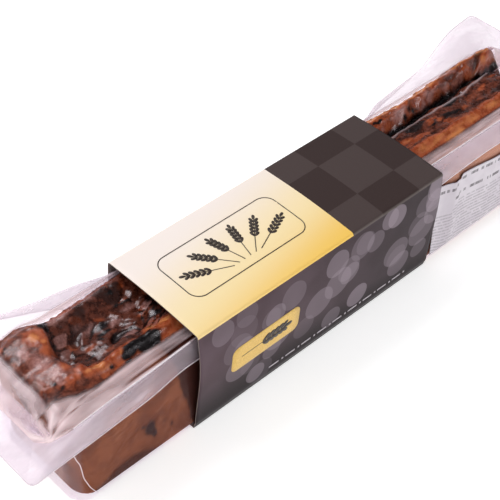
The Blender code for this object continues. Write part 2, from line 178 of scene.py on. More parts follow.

# Golden patches of the crust; dark ones, burnt places and some painted shade by the sleeve and in the
# trough; pale ones, a painted sheen; and dark spots of its front side along X and Z
GOLD_PATCHES = patches(
    (-118.8, 13.2, 3.4, 3.8, 1.35), (-117.0, 10.0, 1.8, 2.0, 1.2), (-120.5, 17.0, 1.6, 1.2, 0.7),
    (-118.8, -2.9, 1.9, 2.4, 1.1), (-115.5, -6.5, 2.6, 1.8, 0.8), (-109.6, -8.4, 4.6, 2.6, 1.5),
    (-113.6, -9.4, 2.4, 2.0, 1.2), (-107.4, -11.2, 5.0, 1.4, 1.1), (-103.0, -9.4, 3.6, 1.8, 0.95),
    (-100.4, -9.4, 1.2, 1.3, 1.3), (-104.2, 0.9, 2.4, 1.2, 0.8), (-84.5, -6.4, 3.6, 1.9, 1.4),
    (-79.0, -7.0, 4.4, 2.3, 1.5), (-82.6, -10.6, 2.8, 1.1, 1.0), (-76.8, -11.8, 3.2, 1.4, 1.1),
    (-80.0, -3.6, 3.0, 0.9, 0.7), (-104.0, 17.6, 5.0, 0.8, 0.9), (56.5, 17.0, 3.6, 2.0, 1.2),
    (114.7, 14.0, 5.0, 1.9, 1.0), (122.5, 15.5, 4.0, 2.4, 1.2), (126.5, 18.5, 3.0, 3.0, 1.1),
    (-118.2, 6.8, 3.0, 2.6, 0.8), (-119.0, -8.4, 3.0, 2.0, 0.9), (76.0, -8.2, 9.0, 2.2, 1.5),
    (57.5, 1.9, 3.4, 1.6, 1.1), (78.7, 2.4, 2.4, 1.0, 1.0), (93.5, 0.8, 3.0, 1.2, 0.9),
)
BURNT_AND_SHADE_PATCHES = patches(
    (-99.0, -11.0, 1.5, 1.9, 1.3), (-95.5, -10.0, 3.6, 2.4, 1.5), (-90.9, -10.6, 4.0, 3.2, 1.8),
    (-87.2, -11.2, 2.8, 2.4, 1.5), (-87.5, -8.6, 1.7, 1.3, 1.1), (-99.6, -13.0, 1.4, 0.8, 1.0),
    (-112.9, 15.9, 1.6, 2.2, 1.2), (-97.6, 3.6, 3.4, 1.2, 1.2), (-99.4, 1.8, 1.5, 1.0, 1.0),
    (-86.3, 10.5, 2.6, 1.0, 1.0), (-78.1, -1.5, 3.0, 1.2, 1.2), (-125.3, -6.4, 0.8, 1.1, 1.2),
    (-123.8, -8.6, 1.3, 0.7, 1.1), (-105.8, -11.9, 1.1, 0.6, 1.1), (-128.6, 16.6, 1.2, 0.8, 0.9),
    (-85.0, 14.8, 2.2, 1.2, 1.0), (-95.6, 6.6, 2.8, 1.8, 1.15), (-81.3, 2.4, 1.6, 1.0, 0.9),
    (-106.7, -2.3, 3.5, 1.0, 0.9), (-110.8, 18.5, 2.0, 1.6, 1.2), (-114.5, 8.6, 1.2, 2.6, 1.1),
    (-79.8, 20.6, 3.0, 1.2, 1.0), (-74.4, 5.2, 2.6, 2.0, 1.0), (54.5, 15.2, 2.8, 0.5, 1.3),
    (58.5, 11.6, 1.8, 0.6, 1.2), (72.1, 13.6, 1.6, 0.6, 1.0), (93.5, 11.0, 5.0, 2.4, 1.5),
    (68.5, 12.4, 1.6, 0.9, 1.2), (74.0, 13.4, 1.0, 1.4, 1.0), (105.0, 12.4, 2.4, 1.0, 1.1),
    (119.5, 11.6, 4.0, 2.0, 1.3), (91.0, 9.0, 5.5, 1.1, 1.3), (75.1, 11.2, 5.0, 0.9, 1.2),
    (61.0, 10.4, 5.0, 0.8, 1.2), (74.1, 2.0, 3.4, 0.9, 1.0), (88.2, 1.0, 3.4, 0.9, 1.1),
    (103.6, -2.6, 3.0, 0.9, 1.0), (90.0, 6.6, 4.6, 1.6, 1.4), (113.0, 11.4, 3.4, 0.9, 1.0),
    (122.0, 12.6, 2.4, 1.0, 1.0),
)
SHEEN_PATCHES = patches(
    (-123.4, 3.6, 3.6, 5.0, 1.3), (-125.8, 10.2, 2.6, 2.4, 1.4), (-123.0, -6.0, 2.4, 2.4, 1.0),
    (-106.2, 16.4, 5.0, 2.0, 1.1), (-91.4, -2.4, 3.0, 1.4, 1.0), (-83.4, 7.2, 3.6, 1.8, 0.8),
    (-92.0, 17.0, 5.0, 1.6, 0.8), (-122.2, -3.2, 4.0, 4.6, 1.1), (-127.4, -1.5, 1.8, 3.6, 0.9),
    (-109.0, -11.8, 4.0, 0.8, 0.75), (-108.0, 18.6, 7.0, 1.6, 0.75), (-92.0, 18.8, 8.0, 1.5, 0.7),
    (-99.7, 7.8, 4.0, 2.2, 1.0), (-102.6, 10.6, 2.4, 1.5, 0.9), (-91.4, 4.6, 3.4, 1.3, 0.95),
    (66.5, 14.2, 4.6, 1.8, 1.3), (80.0, 12.6, 3.0, 1.2, 1.1), (61.4, 11.6, 1.6, 0.5, 1.2),
    (85.2, 14.6, 5.0, 1.4, 1.15), (94.5, 14.8, 4.0, 1.2, 0.8), (54.9, 12.6, 2.0, 0.9, 0.9),
    (127.0, 15.0, 2.0, 1.5, 1.0),
)
SIDE_SPOTS = patches(
    (-98.2, 16.4, 2.6, 3.4, 1.5), (-96.4, 12.2, 1.8, 2.4, 1.5), (-101.2, 19.4, 1.4, 1.0, 1.0),
    (-91.8, 14.9, 0.8, 1.0, 0.9), (-88.8, 11.2, 0.9, 1.3, 0.9), (-103.9, 19.6, 0.6, 0.7, 0.9),
    (-130.3, 17.3, 1.2, 1.5, 0.9), (-110.5, 15.0, 0.6, 0.6, 0.7),
)

# Film over loaf: how far it lies off the crust, and the formed pocket as its half length and width,
# corner radius and height
CLING = 0.3 * MM
POCKET_FOOT = LOAF_FOOT + 0.45 * MM
POCKET_WALL = LOAF_SHOULDER + 0.45 * MM
POCKET_FLOOR_Z = FILM_FLOOR + 0.2 * MM
POCKET_RINGS = (
    (0, POCKET_FOOT - FOOT_ROUND, 5 * MM, POCKET_FLOOR_Z),
    (128.6 * MM, POCKET_FOOT - FOOT_ROUND, 5 * MM, POCKET_FLOOR_Z),
    (130.6 * MM, POCKET_FOOT - 0.3 * FOOT_ROUND, 6.5 * MM, POCKET_FLOOR_Z + 0.3 * FOOT_ROUND),
    (131.2 * MM, POCKET_FOOT, 7 * MM, POCKET_FLOOR_Z + FOOT_ROUND),
    (132.4 * MM, (POCKET_FOOT + POCKET_WALL) / 2, 7.5 * MM, 20 * MM),
    (133.8 * MM, POCKET_WALL, 7.5 * MM, SHOULDER_Z),
)
# How many rings lead from each of these to the next, then up to the fold and out to the cut edge
POCKET_STEPS = (2, 4, 4, 8, 8)
FOLD_STEPS = 7
RIM_STEPS = 14
# A crease down the near corner of the pocket: height and X
POCKET_CREASE = (
    mm(27.7, -129.8), mm(24.7, -129.1), mm(22.0, -128.2), mm(18.5, -127.8), mm(14.5, -127.4),
    mm(11.3, -126.5), mm(8.4, -125.6), mm(5.5, -124.2), mm(2.6, -122.6),
)
CREASE_RADIUS = 0.1 * MM
EDGE_RADIUS = 0.12 * MM
FOLD_RADIUS = 0.22 * MM
FOLD_END = 141.5 * MM
FOLD_END_Z = 41 * MM
FOLD_ROUND = 5 * MM
FOLD_CORNER = FOLD_END - FOLD_ROUND
OVER_WALL = 0.7
CUT_END = PACK_LENGTH / 2
CUT_END_Z = 41 * MM
CUT_ROUND = 2.5 * MM
CUT_CORNER = CUT_END - CUT_ROUND
IN_SLEEVE = SLEEVE_WIDTH / 2 - CARD - 0.75 * MM
# The film's fold and its cut edge, at the front and at the back: places along X with Y and Z
FRONT_FOLD = (
    (-FOLD_CORNER, -20.6 * MM, 42.0 * MM), mm(-131, -21.8, 43.2), mm(-112, -22.2, 45.8),
    (SLEEVE_START, -20.9 * MM, 46.3 * MM), (SLEEVE_END, -15.2 * MM, 46.3 * MM),
    mm(100, -15.3, 46.3), mm(131, -18.0, 43.6), (FOLD_CORNER, -18.6 * MM, 42.4 * MM),
)
BACK_FOLD = (
    (-FOLD_CORNER, 21.4 * MM, 42.0 * MM), mm(-131, 22.6, 43.2), mm(-121, 23.6, 45.0),
    mm(-110, 21.4, 46.2), mm(105, 21.2, 46.3), mm(124, 22.6, 44.8), mm(131, 22.4, 43.6),
    (FOLD_CORNER, 21.4 * MM, 42.4 * MM),
)
FRONT_CUT = (
    (-CUT_CORNER, -FRONT_REACH, CUT_END_Z), mm(-140, -28.3, 40.0), mm(-128, -27.0, 38.7),
    mm(-118, -25.9, 37.7), mm(-100, -24.6, 37.1), (SLEEVE_START - 2 * MM, -IN_SLEEVE, 37.1 * MM),
    (SLEEVE_START, -IN_SLEEVE, 37.1 * MM), (SLEEVE_END, -IN_SLEEVE, 42.2 * MM),
    (SLEEVE_END + 2 * MM, -IN_SLEEVE, 42.4 * MM), mm(86, -23.4, 45.2),
    (CUT_CORNER, -FRONT_REACH, CUT_END_Z),
)
BACK_CUT = (
    (-CUT_CORNER, BACK_REACH, CUT_END_Z), mm(-135, 43.6, 39.5), mm(-113, 39.0, 33.0),
    mm(-95, 34.5, 28.5), (SLEEVE_START - 2 * MM, IN_SLEEVE, 24.5 * MM),
    (SLEEVE_START, IN_SLEEVE, 24.5 * MM), (SLEEVE_END, IN_SLEEVE, 24.5 * MM),
    (SLEEVE_END + 2 * MM, IN_SLEEVE, 24.5 * MM), mm(73, 34.5, 28.5), mm(110, 39.2, 33.1),
    mm(137, 43.8, 40.5), (CUT_CORNER, BACK_REACH, CUT_END_Z),
)

# How milky the film is: the pocket, its corners with where that starts faintly and in full, the rim at the
# back before and beyond the sleeve, and the front rim as places along X. Then its painted glints, along X and
# Z
POCKET_VEIL = 0.004
CORNER_VEIL = 0.2
CORNER_HINT = mm(127, 129)
CORNER_START = mm(131, 134)
BACK_VEIL = (0.26, 0.4)
RIM_VEIL = (
    (-145 * MM, 0.47), (-127 * MM, 0.45), (-115 * MM, 0.34), (-105 * MM, 0.23), (-90 * MM, 0.17),
    (SLEEVE_START, 0.12), (SLEEVE_END, 0.28), (80 * MM, 0.32), (145 * MM, 0.38),
)
RIM_GLINTS = (mm(-105, 40.5), mm(53, 44.5))

# Where the film's pleats meet at its corners, white lumps of painted highlight and dark creases in it, and a
# long fold of the film over the far crust, just before its crease: places along X with Y
STAR = mm(137.4, -19.1)
STAR_PLEATS = 9
FILM_GLINTS_AND_CREASES = patches(
    (-132.4, -15.8, 2.8, 1.1, 0.6), (-129.8, -12.4, 0.8, 1.6, 0.4), (-137.4, -19.1, 1.5, 1.0, 0.4),
    (-126.0, -16.8, 2.4, 0.45, -0.4), (-121.2, -15.4, 2.6, 0.4, -0.4),
    (-115.0, -15.4, 3.6, 0.4, -0.35), (-135.4, -11.3, 2.0, 1.1, -0.3), (84.3, -15.4, 0.6, 0.5, 0.6),
)
FILM_FOLD = (
    mm(45, 6.2), mm(56, 7.0), mm(67, 7.9), mm(82, 7.0), mm(96, 7.1), mm(103, 7.9), mm(112, 8.6),
    mm(122, 10.4),
)
# Where that fold fades out, and where it and the thinner film along the front start beyond the sleeve
FILM_FOLD_END = mm(118, 124)
BEYOND_SLEEVE = mm(40, 50)

# The sleeve's panels bulge over what it holds, and its lower folds are bevelled
SLEEVE_FOLD_ROUND = 1.2 * MM
SLEEVE_BEVEL_WIDTH = 1.0 * MM
SLEEVE_BEVEL_HEIGHT = 3.6 * MM
NEAR_BULGE = 1.7 * MM
FAR_BULGE = 0.7 * MM
TOP_BULGE = 0.8 * MM
BULGE_SKEW = 1.5

# The paper label on the pocket's front wall, beside the sleeve
PAPER = 0.2 * MM
LABEL_START = 49.2 * MM
LABEL_SLANT = 1.6 * MM
LABEL_GAP = 0.6 * MM
LABEL_FOOT_Z = 4.2 * MM
# Where its top edge has a step, where it ends, and the edge as places along X with Z
LABEL_STEP = mm(64.8, 65.4)
LABEL_END = 118 * MM
LABEL_TOP = (
    (LABEL_START, 41.6 * MM), (LABEL_STEP[0], 37.0 * MM), (LABEL_STEP[1], 39.2 * MM), mm(88, 35.8),
    (LABEL_END, 34.0 * MM),
)
LABEL_CREASE_X = 61 * MM
LABEL_CREASE_WIDTH = 1.6 * MM
LABEL_CREASE_HEIGHT = 0.5 * MM
LABEL_CURL = 0.6 * MM
LABEL_CURL_LENGTH = 7 * MM

# The print: a gold field, dark squares and an emblem on top, discs, a badge and a border on the front
GOLD_LENGTH = 76.4 * MM
SQUARE = 20.5 * MM
SQUARE_CORNER = mm(14.2, 13.5)
PRINT_LIFT = 0.05 * MM
PRINT_DEPTH = 0.04 * MM
MERGE = 0.001 * MM
EMBLEM = mm(-40, 0.4)
EMBLEM_SIZE = mm(56, 24)
EMBLEM_ROUND = 5 * MM
EMBLEM_LINE = 0.4 * MM
BADGE = mm(-46, 26)
BADGE_SIZE = mm(34, 13)
BADGE_ROUND = 3 * MM
DISC_COUNT = 40
DISC_RADII = mm(4.6, 7.4)
DISC_BLUR = 0.15 * MM
BORDER_START = -42 * MM
BORDER_Z = 6.2 * MM
BORDER_PITCH = 8.6 * MM
BORDER_COUNT = 9
BORDER_DASH = mm(5, 0.8)
BORDER_DOT = mm(0.9, 0.9)
BORDER_DOT_AT = 6.6 * MM
PLATE_SHARES = (1.0, 0.8, 0.6, 0.4, 0.2)
STEM_STEPS = 12
STEM_WIDTH = 0.35 * MM
# The grains: width as a share of length, pairs up the stem with their places as shares of it, lean in
# degrees and distance from its middle
GRAIN_WIDTH = 0.45
GRAIN_PAIRS = 5
FIRST_GRAINS = 0.48
GRAIN_PITCH = 0.11
GRAIN_LEAN = 32
GRAIN_OFF = 0.18 * MM
# The sheaf on top and the ear on the badge: leans in degrees, the foot from the middle, stem and grains
SHEAF_LEANS = (-66, -40, -14, 14, 40, 66)
SHEAF_FOOT = 8 * MM
SHEAF_STEM = 14 * MM
SHEAF_GRAIN = 2.7 * MM
BADGE_EAR_FOOT = 12 * MM
BADGE_STEM = 21 * MM
BADGE_GRAIN = 4.4 * MM

# Rows of strokes on the label, as how far they lie below its top edge, and a stroke's share of its row
ROW_PITCH = 1.65 * MM
BOLD_HEIGHT = 1.5 * MM
BOLD_ROWS = mm(2.4, 9.4)
BOLD_ROW_BY_SLEEVE = 3.9 * MM
FIRST_ROW = 13 * MM
FIRST_ROW_BY_SLEEVE = 16 * MM
STROKE_SHARE = 0.44

# The camera, fitted to the photo: place, turns in degrees, and lens and sensor in millimetres
CAMERA_PLACE = (-0.2746267, -0.2309750 + AXIS_Y, 0.3744921)
CAMERA_TURNS = (45.27553, -2.73822, -43.77932)
LENS = 92.92
SENSOR_WIDTH = 36

# How bright the sky is at the horizon and overhead, and the lamps: name, place, aim, size and power in watts
SKY = (0.6, 0.12)
LAMPS = (
    ("key", (-0.2, 0.6, 0.9), (0, 0, 0.03), (0.6, 0.6), 8.6),
    ("fill", (0.2, -0.85, 0.45), (0, 0, 0.03), (0.6, 0.4), 2.7),
    ("end", (-0.9, -0.1, 0.6), (-0.1, 0, 0.03), (0.6, 0.6), 2.6),
)


def ease(low, high, value):
    """0 below low, 1 above high and a smooth rise between them."""
    t = min(max((value - low) / (high - low), 0.0), 1.0)
    return t * t * (3 - 2 * t)


def mix(first, second, share):
    return first + (second - first) * share


def bump(distance, width):
    return math.exp(-((distance / width) ** 2))


def smooth_step(low, high, low_slope, high_slope, t):
    """From low to high as t goes from 0 to 1, with these slopes at its ends."""
    flat = low * (1 - 3 * t**2 + 2 * t**3) + high * (3 * t**2 - 2 * t**3)
    return flat + low_slope * (t - 2 * t**2 + t**3) + high_slope * (t**3 - t**2)


def smooth_line(knots, place):
    """The values at a place of a smooth line through knots, each a place with its values."""
    rows = np.array(knots, float)
    places, values = rows[:, 0], rows[:, 1:]
    steps = np.diff(places)[:, None]
    rises = np.diff(values, axis=0) / steps
    before, after = rises[:-1], rises[1:]
    product = before * after
    total = np.where(product > 0, before + after, 1.0)
    inner = np.where(product > 0, 2 * product / total, 0.0)
    slopes = np.vstack([rises[:1], inner, rises[-1:]])
    i = int(np.clip(np.searchsorted(places, place) - 1, 0, len(places) - 2))
    step = steps[i]
    t = float(np.clip((place - places[i]) / step[0], 0, 1))
    return smooth_step(values[i], values[i + 1], slopes[i] * step, slopes[i + 1] * step, t)


def level(knots, place):
    """The only value at a place of a smooth line through knots."""
    return float(smooth_line(knots, place)[0])


def bezier(start, pull, end, t):
    return start * (1 - t) ** 2 + pull * 2 * t * (1 - t) + end * t**2


def stretches(breaks, step):
    """Places from the first break to the last, no further apart than step."""
    places = [breaks[0]]
    for low, high in zip(breaks, breaks[1:]):
        count = max(1, math.ceil((high - low) / step))
        places += [mix(low, high, (k + 1) / count) for k in range(count)]
    return places


def places_along(end, fine, coarse):
    """Places along the pack from one end to the other, further apart inside the sleeve."""
    near = stretches((-end, SLEEVE_START + SLEEVE_OVERLAP), fine)
    far = stretches((SLEEVE_END - SLEEVE_OVERLAP, end), fine)
    return near + stretches((near[-1], far[0]), coarse)[1:-1] + far


def noise_at(x, y, seed, size_x, size_y=None):
    """Smooth noise from -1 to 1, with lumps of this size in millimetres along X and Y."""
    return noise.noise(Vector((x / (size_x * MM), y / ((size_y or size_x) * MM), seed)))


# Meshes


def srgb(red, green, blue):
    """A colour given as a screen shows it, from 0 to 255, as Blender's linear values."""
    shares = (value / 255 for value in (red, green, blue))
    return tuple(s / 12.92 if s <= 0.04045 else ((s + 0.055) / 1.055) ** 2.4 for s in shares)


def finish_mesh(name, bm, materials):
    bmesh.ops.recalc_face_normals(bm, faces=bm.faces)
    mesh = bpy.data.meshes.new(name)
    bm.to_mesh(mesh)
    bm.free()
    mesh.shade_smooth()
    for material in materials:
        mesh.materials.append(material)
    piece = bpy.data.objects.new(name, mesh)
    bpy.context.scene.collection.objects.link(piece)
    piece.location = (0, AXIS_Y, 0)
    return piece


def loft(name, rows, materials, marks=None, closed=True, caps=(True, True)):
    """A piece through rows of points of equal length. marks holds named numbers for each point."""
    bm = bmesh.new()
    layers = {mark: bm.verts.layers.float.new(mark) for mark in marks or {}}
    lines = []
    for i, row in enumerate(rows):
        line = []
        for k, point in enumerate(row):
            vert = bm.verts.new(point)
            for mark, layer in layers.items():
                vert[layer] = marks[mark][i][k]
            line.append(vert)
        lines.append(line)
    for low, high in zip(lines, lines[1:]):
        for k in range(0 if closed else 1, len(low)):
            bm.faces.new((low[k - 1], low[k], high[k], high[k - 1]))
    for line, wanted in ((lines[0], caps[0]), (lines[-1], caps[1])):
        if closed and wanted:
            bm.faces.new(line)
    return finish_mesh(name, bm, materials)


def thicken(piece, thickness, offset=0.0, inner_slot=0):
    """Gives a surface its thickness. Its inner side and its edges take the material in inner_slot."""
    modifier = piece.modifiers.new("thickness", "SOLIDIFY")
    modifier.thickness = thickness
    modifier.offset = offset
    modifier.material_offset = inner_slot
    modifier.material_offset_rim = inner_slot


# Materials


class Paint:
    """A material whose nodes are added one by one."""

    def __init__(self, name):
        self.material = bpy.data.materials.new(name)
        self.material.use_nodes = True
        self.nodes = self.material.node_tree.nodes
        self.links = self.material.node_tree.links
        self.nodes.clear()
        self.output = self.nodes.new("ShaderNodeOutputMaterial")

    def add(self, kind, inputs=None, **settings):
        node = self.nodes.new(kind)
        for name, value in settings.items():
            setattr(node, name, value)
        for name, value in (inputs or {}).items():
            self.put(node.inputs[name], value)
        return node

    def put(self, socket, value):
        if isinstance(value, bpy.types.NodeSocket):
            self.links.new(value, socket)
        elif isinstance(value, tuple) and len(value) == 3 and socket.type == "RGBA":
            socket.default_value = (*value, 1)
        else:
            socket.default_value = value

    def math(self, operation, first, second=0.0, third=0.0):
        node = self.add("ShaderNodeMath", {0: first, 1: second, 2: third}, operation=operation)
        return node.outputs[0]

    def plus(self, first, second):
        return self.math("ADD", first, second)

    def times(self, first, second):
        return self.math("MULTIPLY", first, second)

    def rise(self, value, low, high, start=0.0, end=1.0):
        """start where value is low, end where it is high, and smooth between."""
        inputs = {"Value": value, "From Min": low, "From Max": high, "To Min": start, "To Max": end}
        return self.add("ShaderNodeMapRange", inputs, interpolation_type="SMOOTHSTEP").outputs[0]

    def blend(self, share, first, second):
        """The first colour where share is 0 and the second where it is 1."""
        node = self.add("ShaderNodeMix", {0: share, 6: first, 7: second}, data_type="RGBA")
        return node.outputs[2]

    def place(self):
        return self.add("ShaderNodeTexCoord").outputs["Object"]

    def mark(self, name):
        return self.add("ShaderNodeAttribute", attribute_name=name).outputs["Fac"]

    def noise(self, place, size, detail=2.0, roughness=0.5, stretch=None):
        """Noise from 0 to 1 with lumps of this size in metres. stretch lengthens it along each axis."""
        if stretch:
            shape = self.add("ShaderNodeMapping", {"Vector": place, "Scale": tuple(1 / s for s in stretch)})
            place = shape.outputs[0]
        inputs = {"Vector": place, "Scale": 1 / size, "Detail": detail, "Roughness": roughness}
        return self.add("ShaderNodeTexNoise", inputs).outputs["Fac"]

    def bumps(self, height, distance, strength):
        inputs = {"Height": height, "Distance": distance, "Strength": strength}
        return self.add("ShaderNodeBump", inputs).outputs[0]

    def surface(self, inputs):
        return self.add("ShaderNodeBsdfPrincipled", inputs).outputs[0]

    def finish(self, shader):
        self.links.new(shader, self.output.inputs["Surface"])
        return self.material

    def finish_matt(self, colour, roughness, normal, gloss=0.5):
        """An opaque material, whose gloss is its level of mirroring."""
        inputs = {"Base Color": colour, "Roughness": roughness, "Specular IOR Level": gloss, "Normal": normal}
        return self.finish(self.surface(inputs))


def crust_material():
    """The glossy baked skin on top, from the mesh's marks."""
    paint = Paint("baked crust")
    place = paint.place()
    fine = paint.noise(place, 0.9 * MM, 4, 0.65)
    medium = paint.noise(place, 2.6 * MM, 3, 0.6)
    height = paint.plus(fine, paint.times(paint.noise(place, 0.45 * MM, 2), 0.35))
    normal = paint.bumps(height, 0.08 * MM, 0.5)
    rough = paint.math("MULTIPLY_ADD", paint.mark("lip"), 0.09, paint.rise(medium, 0.3, 0.7, 0.18, 0.4))
    colour = top_colour(paint, fine, medium)
    return paint.finish_matt(colour, rough, normal, 0.38)


def top_colour(paint, fine, medium):
    """Brown skin with ruddy and golden places, painted sheen in pale places, burnt places and painted shade.
    """
    brown = paint.blend(paint.rise(medium, 0.36, 0.62), srgb(54, 22, 13), srgb(104, 52, 34))
    brown = paint.blend(paint.rise(fine, 0.5, 0.72, 0, 0.8), brown, srgb(128, 80, 64))
    golden = paint.plus(paint.mark("gold"), paint.times(fine, 0.5))
    ruddy = paint.blend(paint.rise(medium, 0.32, 0.66), srgb(142, 63, 31), srgb(176, 92, 54))
    crust = paint.blend(paint.rise(golden, 0.4, 0.95), brown, ruddy)
    crust = paint.blend(paint.rise(golden, 1.0, 1.6), crust, srgb(212, 136, 80))
    crust = paint.blend(paint.rise(fine, 0.56, 0.8, 0, 0.3), crust, srgb(96, 42, 24))
    # Pale mauve: a painted sheen of the film and the glossy skin
    pale = paint.blend(paint.rise(fine, 0.35, 0.7), srgb(160, 114, 104), srgb(190, 146, 136))
    painted_sheen = paint.plus(paint.mark("pale"), paint.times(fine, 0.25))
    crust = paint.blend(paint.rise(painted_sheen, 0.3, 1.35, 0, 0.9), crust, pale)
    # Burnt places and painted shade turn nearly black
    darkness = paint.plus(paint.mark("burnt_and_shade"), paint.times(medium, 0.5))
    return paint.blend(paint.rise(darkness, 0.4, 1.2), crust, srgb(12, 8, 8))


def pastry_material():
    """Matt brown pastry of the sides, darker where it is wet and at its spots, paler by the label."""
    paint = Paint("brown pastry")
    place = paint.place()
    spread = paint.add("ShaderNodeSeparateXYZ", {0: place}).outputs
    fine = paint.noise(place, 0.9 * MM, 4, 0.65)
    medium = paint.noise(place, 2.6 * MM, 3, 0.6)
    slow = paint.noise(place, 9 * MM, 2)
    flecks = paint.noise(place, 1.6 * MM, 2)
    side = paint.blend(paint.rise(slow, 0.35, 0.65), srgb(106, 55, 31), srgb(136, 79, 48))
    side = paint.blend(paint.rise(medium, 0.45, 0.7, 0, 0.5), side, srgb(106, 54, 32))
    side = paint.blend(paint.rise(fine, 0.4, 0.75, 0, 0.35), side, srgb(94, 44, 26))
    side = paint.blend(paint.rise(flecks, 0.6, 0.74, 0, 0.5), side, srgb(168, 116, 84))
    far = paint.rise(spread["X"], SLEEVE_END, SLEEVE_END + 14 * MM, 0, 0.8)
    front = paint.rise(spread["Y"], -14 * MM, -10 * MM, 1, 0)
    high = paint.rise(spread["Z"], 24 * MM, 35 * MM)
    by_label = paint.times(far, paint.times(front, high))
    side = paint.blend(by_label, side, srgb(214, 160, 130))
    wet = paint.plus(paint.mark("wet"), paint.times(medium, 0.3))
    side = paint.blend(paint.rise(wet, 0.2, 1.15), side, srgb(58, 22, 9))
    spot = paint.plus(paint.mark("spot"), paint.times(fine, 0.5))
    colour = paint.blend(paint.rise(spot, 0.3, 1.3, 0, 0.95), side, srgb(34, 12, 14))
    normal = paint.bumps(fine, 0.1 * MM, 0.5)
    rough = paint.rise(medium, 0.3, 0.7, 0.5, 0.7)
    return paint.finish_matt(colour, rough, normal, 0.08)


def film_material(name, gloss, edge_gloss, wrinkle, roughness, tint):
    """Clear film: a veil where layers lie over one another, as the mesh marks it, and a gloss."""
    paint = Paint(name)
    place = paint.place()
    slow = paint.noise(place, 14 * MM, 2, stretch=(2.5, 1, 1))
    quick = paint.noise(place, 3.5 * MM, 3, stretch=(2.5, 1, 1))
    cloud = paint.rise(paint.plus(slow, paint.times(quick, 0.4)), 0.45, 0.95, 0.75, 1.3)
    veil = paint.times(paint.mark("veil"), cloud)
    normal = paint.bumps(quick, wrinkle, 0.5)
    clear = paint.add("ShaderNodeBsdfTransparent", {"Color": srgb(254, 252, 254)}).outputs[0]
    milky = {"Base Color": tint, "Roughness": 0.4, "Specular IOR Level": 0.2, "Normal": normal}
    veiled = paint.add("ShaderNodeMixShader", {0: veil, 1: clear, 2: paint.surface(milky)}).outputs[0]
    shine = paint.add("ShaderNodeBsdfGlossy", {"Roughness": roughness, "Normal": normal}).outputs[0]
    facing = paint.add("ShaderNodeLayerWeight", {"Blend": 0.5, "Normal": normal}).outputs["Facing"]
    sheen = paint.math("MULTIPLY_ADD", paint.math("POWER", facing, 5.0), edge_gloss, gloss)
    shown = paint.add("ShaderNodeMixShader", {0: sheen, 1: veiled, 2: shine}).outputs[0]
    return paint.finish(shown)


def card_material():
    """Printed card: a gold field, a dark field of squares, and pale discs on the front panel."""
    paint = Paint("printed card")
    place = paint.place()
    x = paint.add("ShaderNodeSeparateXYZ", {0: place}).outputs["X"]
    around = paint.mark("around")
    grain = paint.noise(place, 0.5 * MM, 2)
    past_gold = paint.math("GREATER_THAN", x, SLEEVE_START + GOLD_LENGTH)
    top = paint.blend(past_gold, gold_field(paint, x, around), dark_squares(paint, x, around))
    front = front_panel(paint, place, x, around)
    print_colour = paint.blend(paint.math("GREATER_THAN", around, 0.0), front, top)
    beyond = paint.math("GREATER_THAN", around, SLEEVE_WIDTH)
    print_colour = paint.blend(beyond, print_colour, srgb(72, 63, 66))
    # A lighter grey line along the upper front fold over the squares: rubbed print and a painted highlight
    wear_and_highlight = paint.rise(paint.math("ABSOLUTE", around), 0.1 * MM, 0.5 * MM, 0.32, 0)
    print_colour = paint.blend(paint.times(wear_and_highlight, past_gold), print_colour, srgb(128, 118, 114))
    print_colour = paint.blend(paint.times(grain, 0.012), print_colour, srgb(240, 235, 235))
    normal = paint.bumps(grain, 0.03 * MM, 0.35)
    return paint.finish_matt(print_colour, 0.5, normal, 0.12)


def gold_field(paint, x, around):
    """From nearly white at the back to gold at the front, and warmer towards the squares. The white at the
    back is partly print and partly painted glare.
    """
    depth = paint.math("DIVIDE", around, SLEEVE_WIDTH)
    along = paint.math("DIVIDE", paint.math("SUBTRACT", x, SLEEVE_START), GOLD_LENGTH)
    warmth = paint.math("SUBTRACT", paint.times(along, 0.35), paint.times(depth, 1.15))
    gold = paint.blend(paint.rise(warmth, -0.95, -0.1), srgb(251, 239, 233), srgb(254, 231, 180))
    return paint.blend(paint.rise(warmth, -0.24, 0.34), gold, srgb(252, 206, 100))


def dark_squares(paint, x, around):
    squares = paint.add("ShaderNodeCombineXYZ", {0: paint.math("SUBTRACT", x, SQUARE_CORNER[0]), 1: around})
    shift = paint.add("ShaderNodeVectorMath", {0: squares.outputs[0], 1: (0, -SQUARE_CORNER[1], 0.001)})
    checker = paint.add("ShaderNodeTexChecker", {"Vector": shift.outputs[0], "Scale": 1 / SQUARE})
    return paint.blend(checker.outputs["Fac"], srgb(76, 64, 63), srgb(60, 47, 46))


def front_panel(paint, place, x, around):
    """Dark, and darker to the right, with painted shade at its foot and pale discs."""
    cloud = paint.noise(place, 18 * MM, 2)
    front = paint.blend(paint.rise(cloud, 0.35, 0.65), srgb(78, 60, 67), srgb(90, 72, 80))
    to_right = paint.rise(x, SLEEVE_START, SLEEVE_END, 0, 0.8)
    foot_shade = paint.rise(around, -0.9 * SLEEVE_HEIGHT, -0.35 * SLEEVE_HEIGHT, 0.95, 0)
    # Painted shade towards the foot
    front = paint.blend(paint.math("MAXIMUM", to_right, foot_shade), front, srgb(30, 20, 23))
    flat = paint.add("ShaderNodeCombineXYZ", {0: x, 1: around}).outputs[0]
    for centre, radius, strength in discs():
        distance = paint.add("ShaderNodeVectorMath", {0: flat, 1: (*centre, 0)}, operation="DISTANCE")
        gap = distance.outputs["Value"]
        disc = paint.rise(gap, radius - DISC_BLUR, radius + DISC_BLUR, strength, 0)
        front = paint.blend(disc, front, srgb(156, 142, 152))
    return front


def discs():
    """Soft discs of light on the front panel: place, radius and strength. They gather to the right."""
    draw = random.Random(11)
    found = []
    for _ in range(DISC_COUNT):
        x = SLEEVE_START + SLEEVE_LENGTH * draw.random() ** 0.75
        z = draw.uniform(9 * MM, SLEEVE_HEIGHT - 3 * MM)
        radius = draw.uniform(*DISC_RADII)
        strength = draw.uniform(0.12, 0.5) * (0.6 + 0.4 * ease(SLEEVE_START, -10 * MM, x))
        found.append(((x, z - SLEEVE_HEIGHT), radius, strength))
    return found


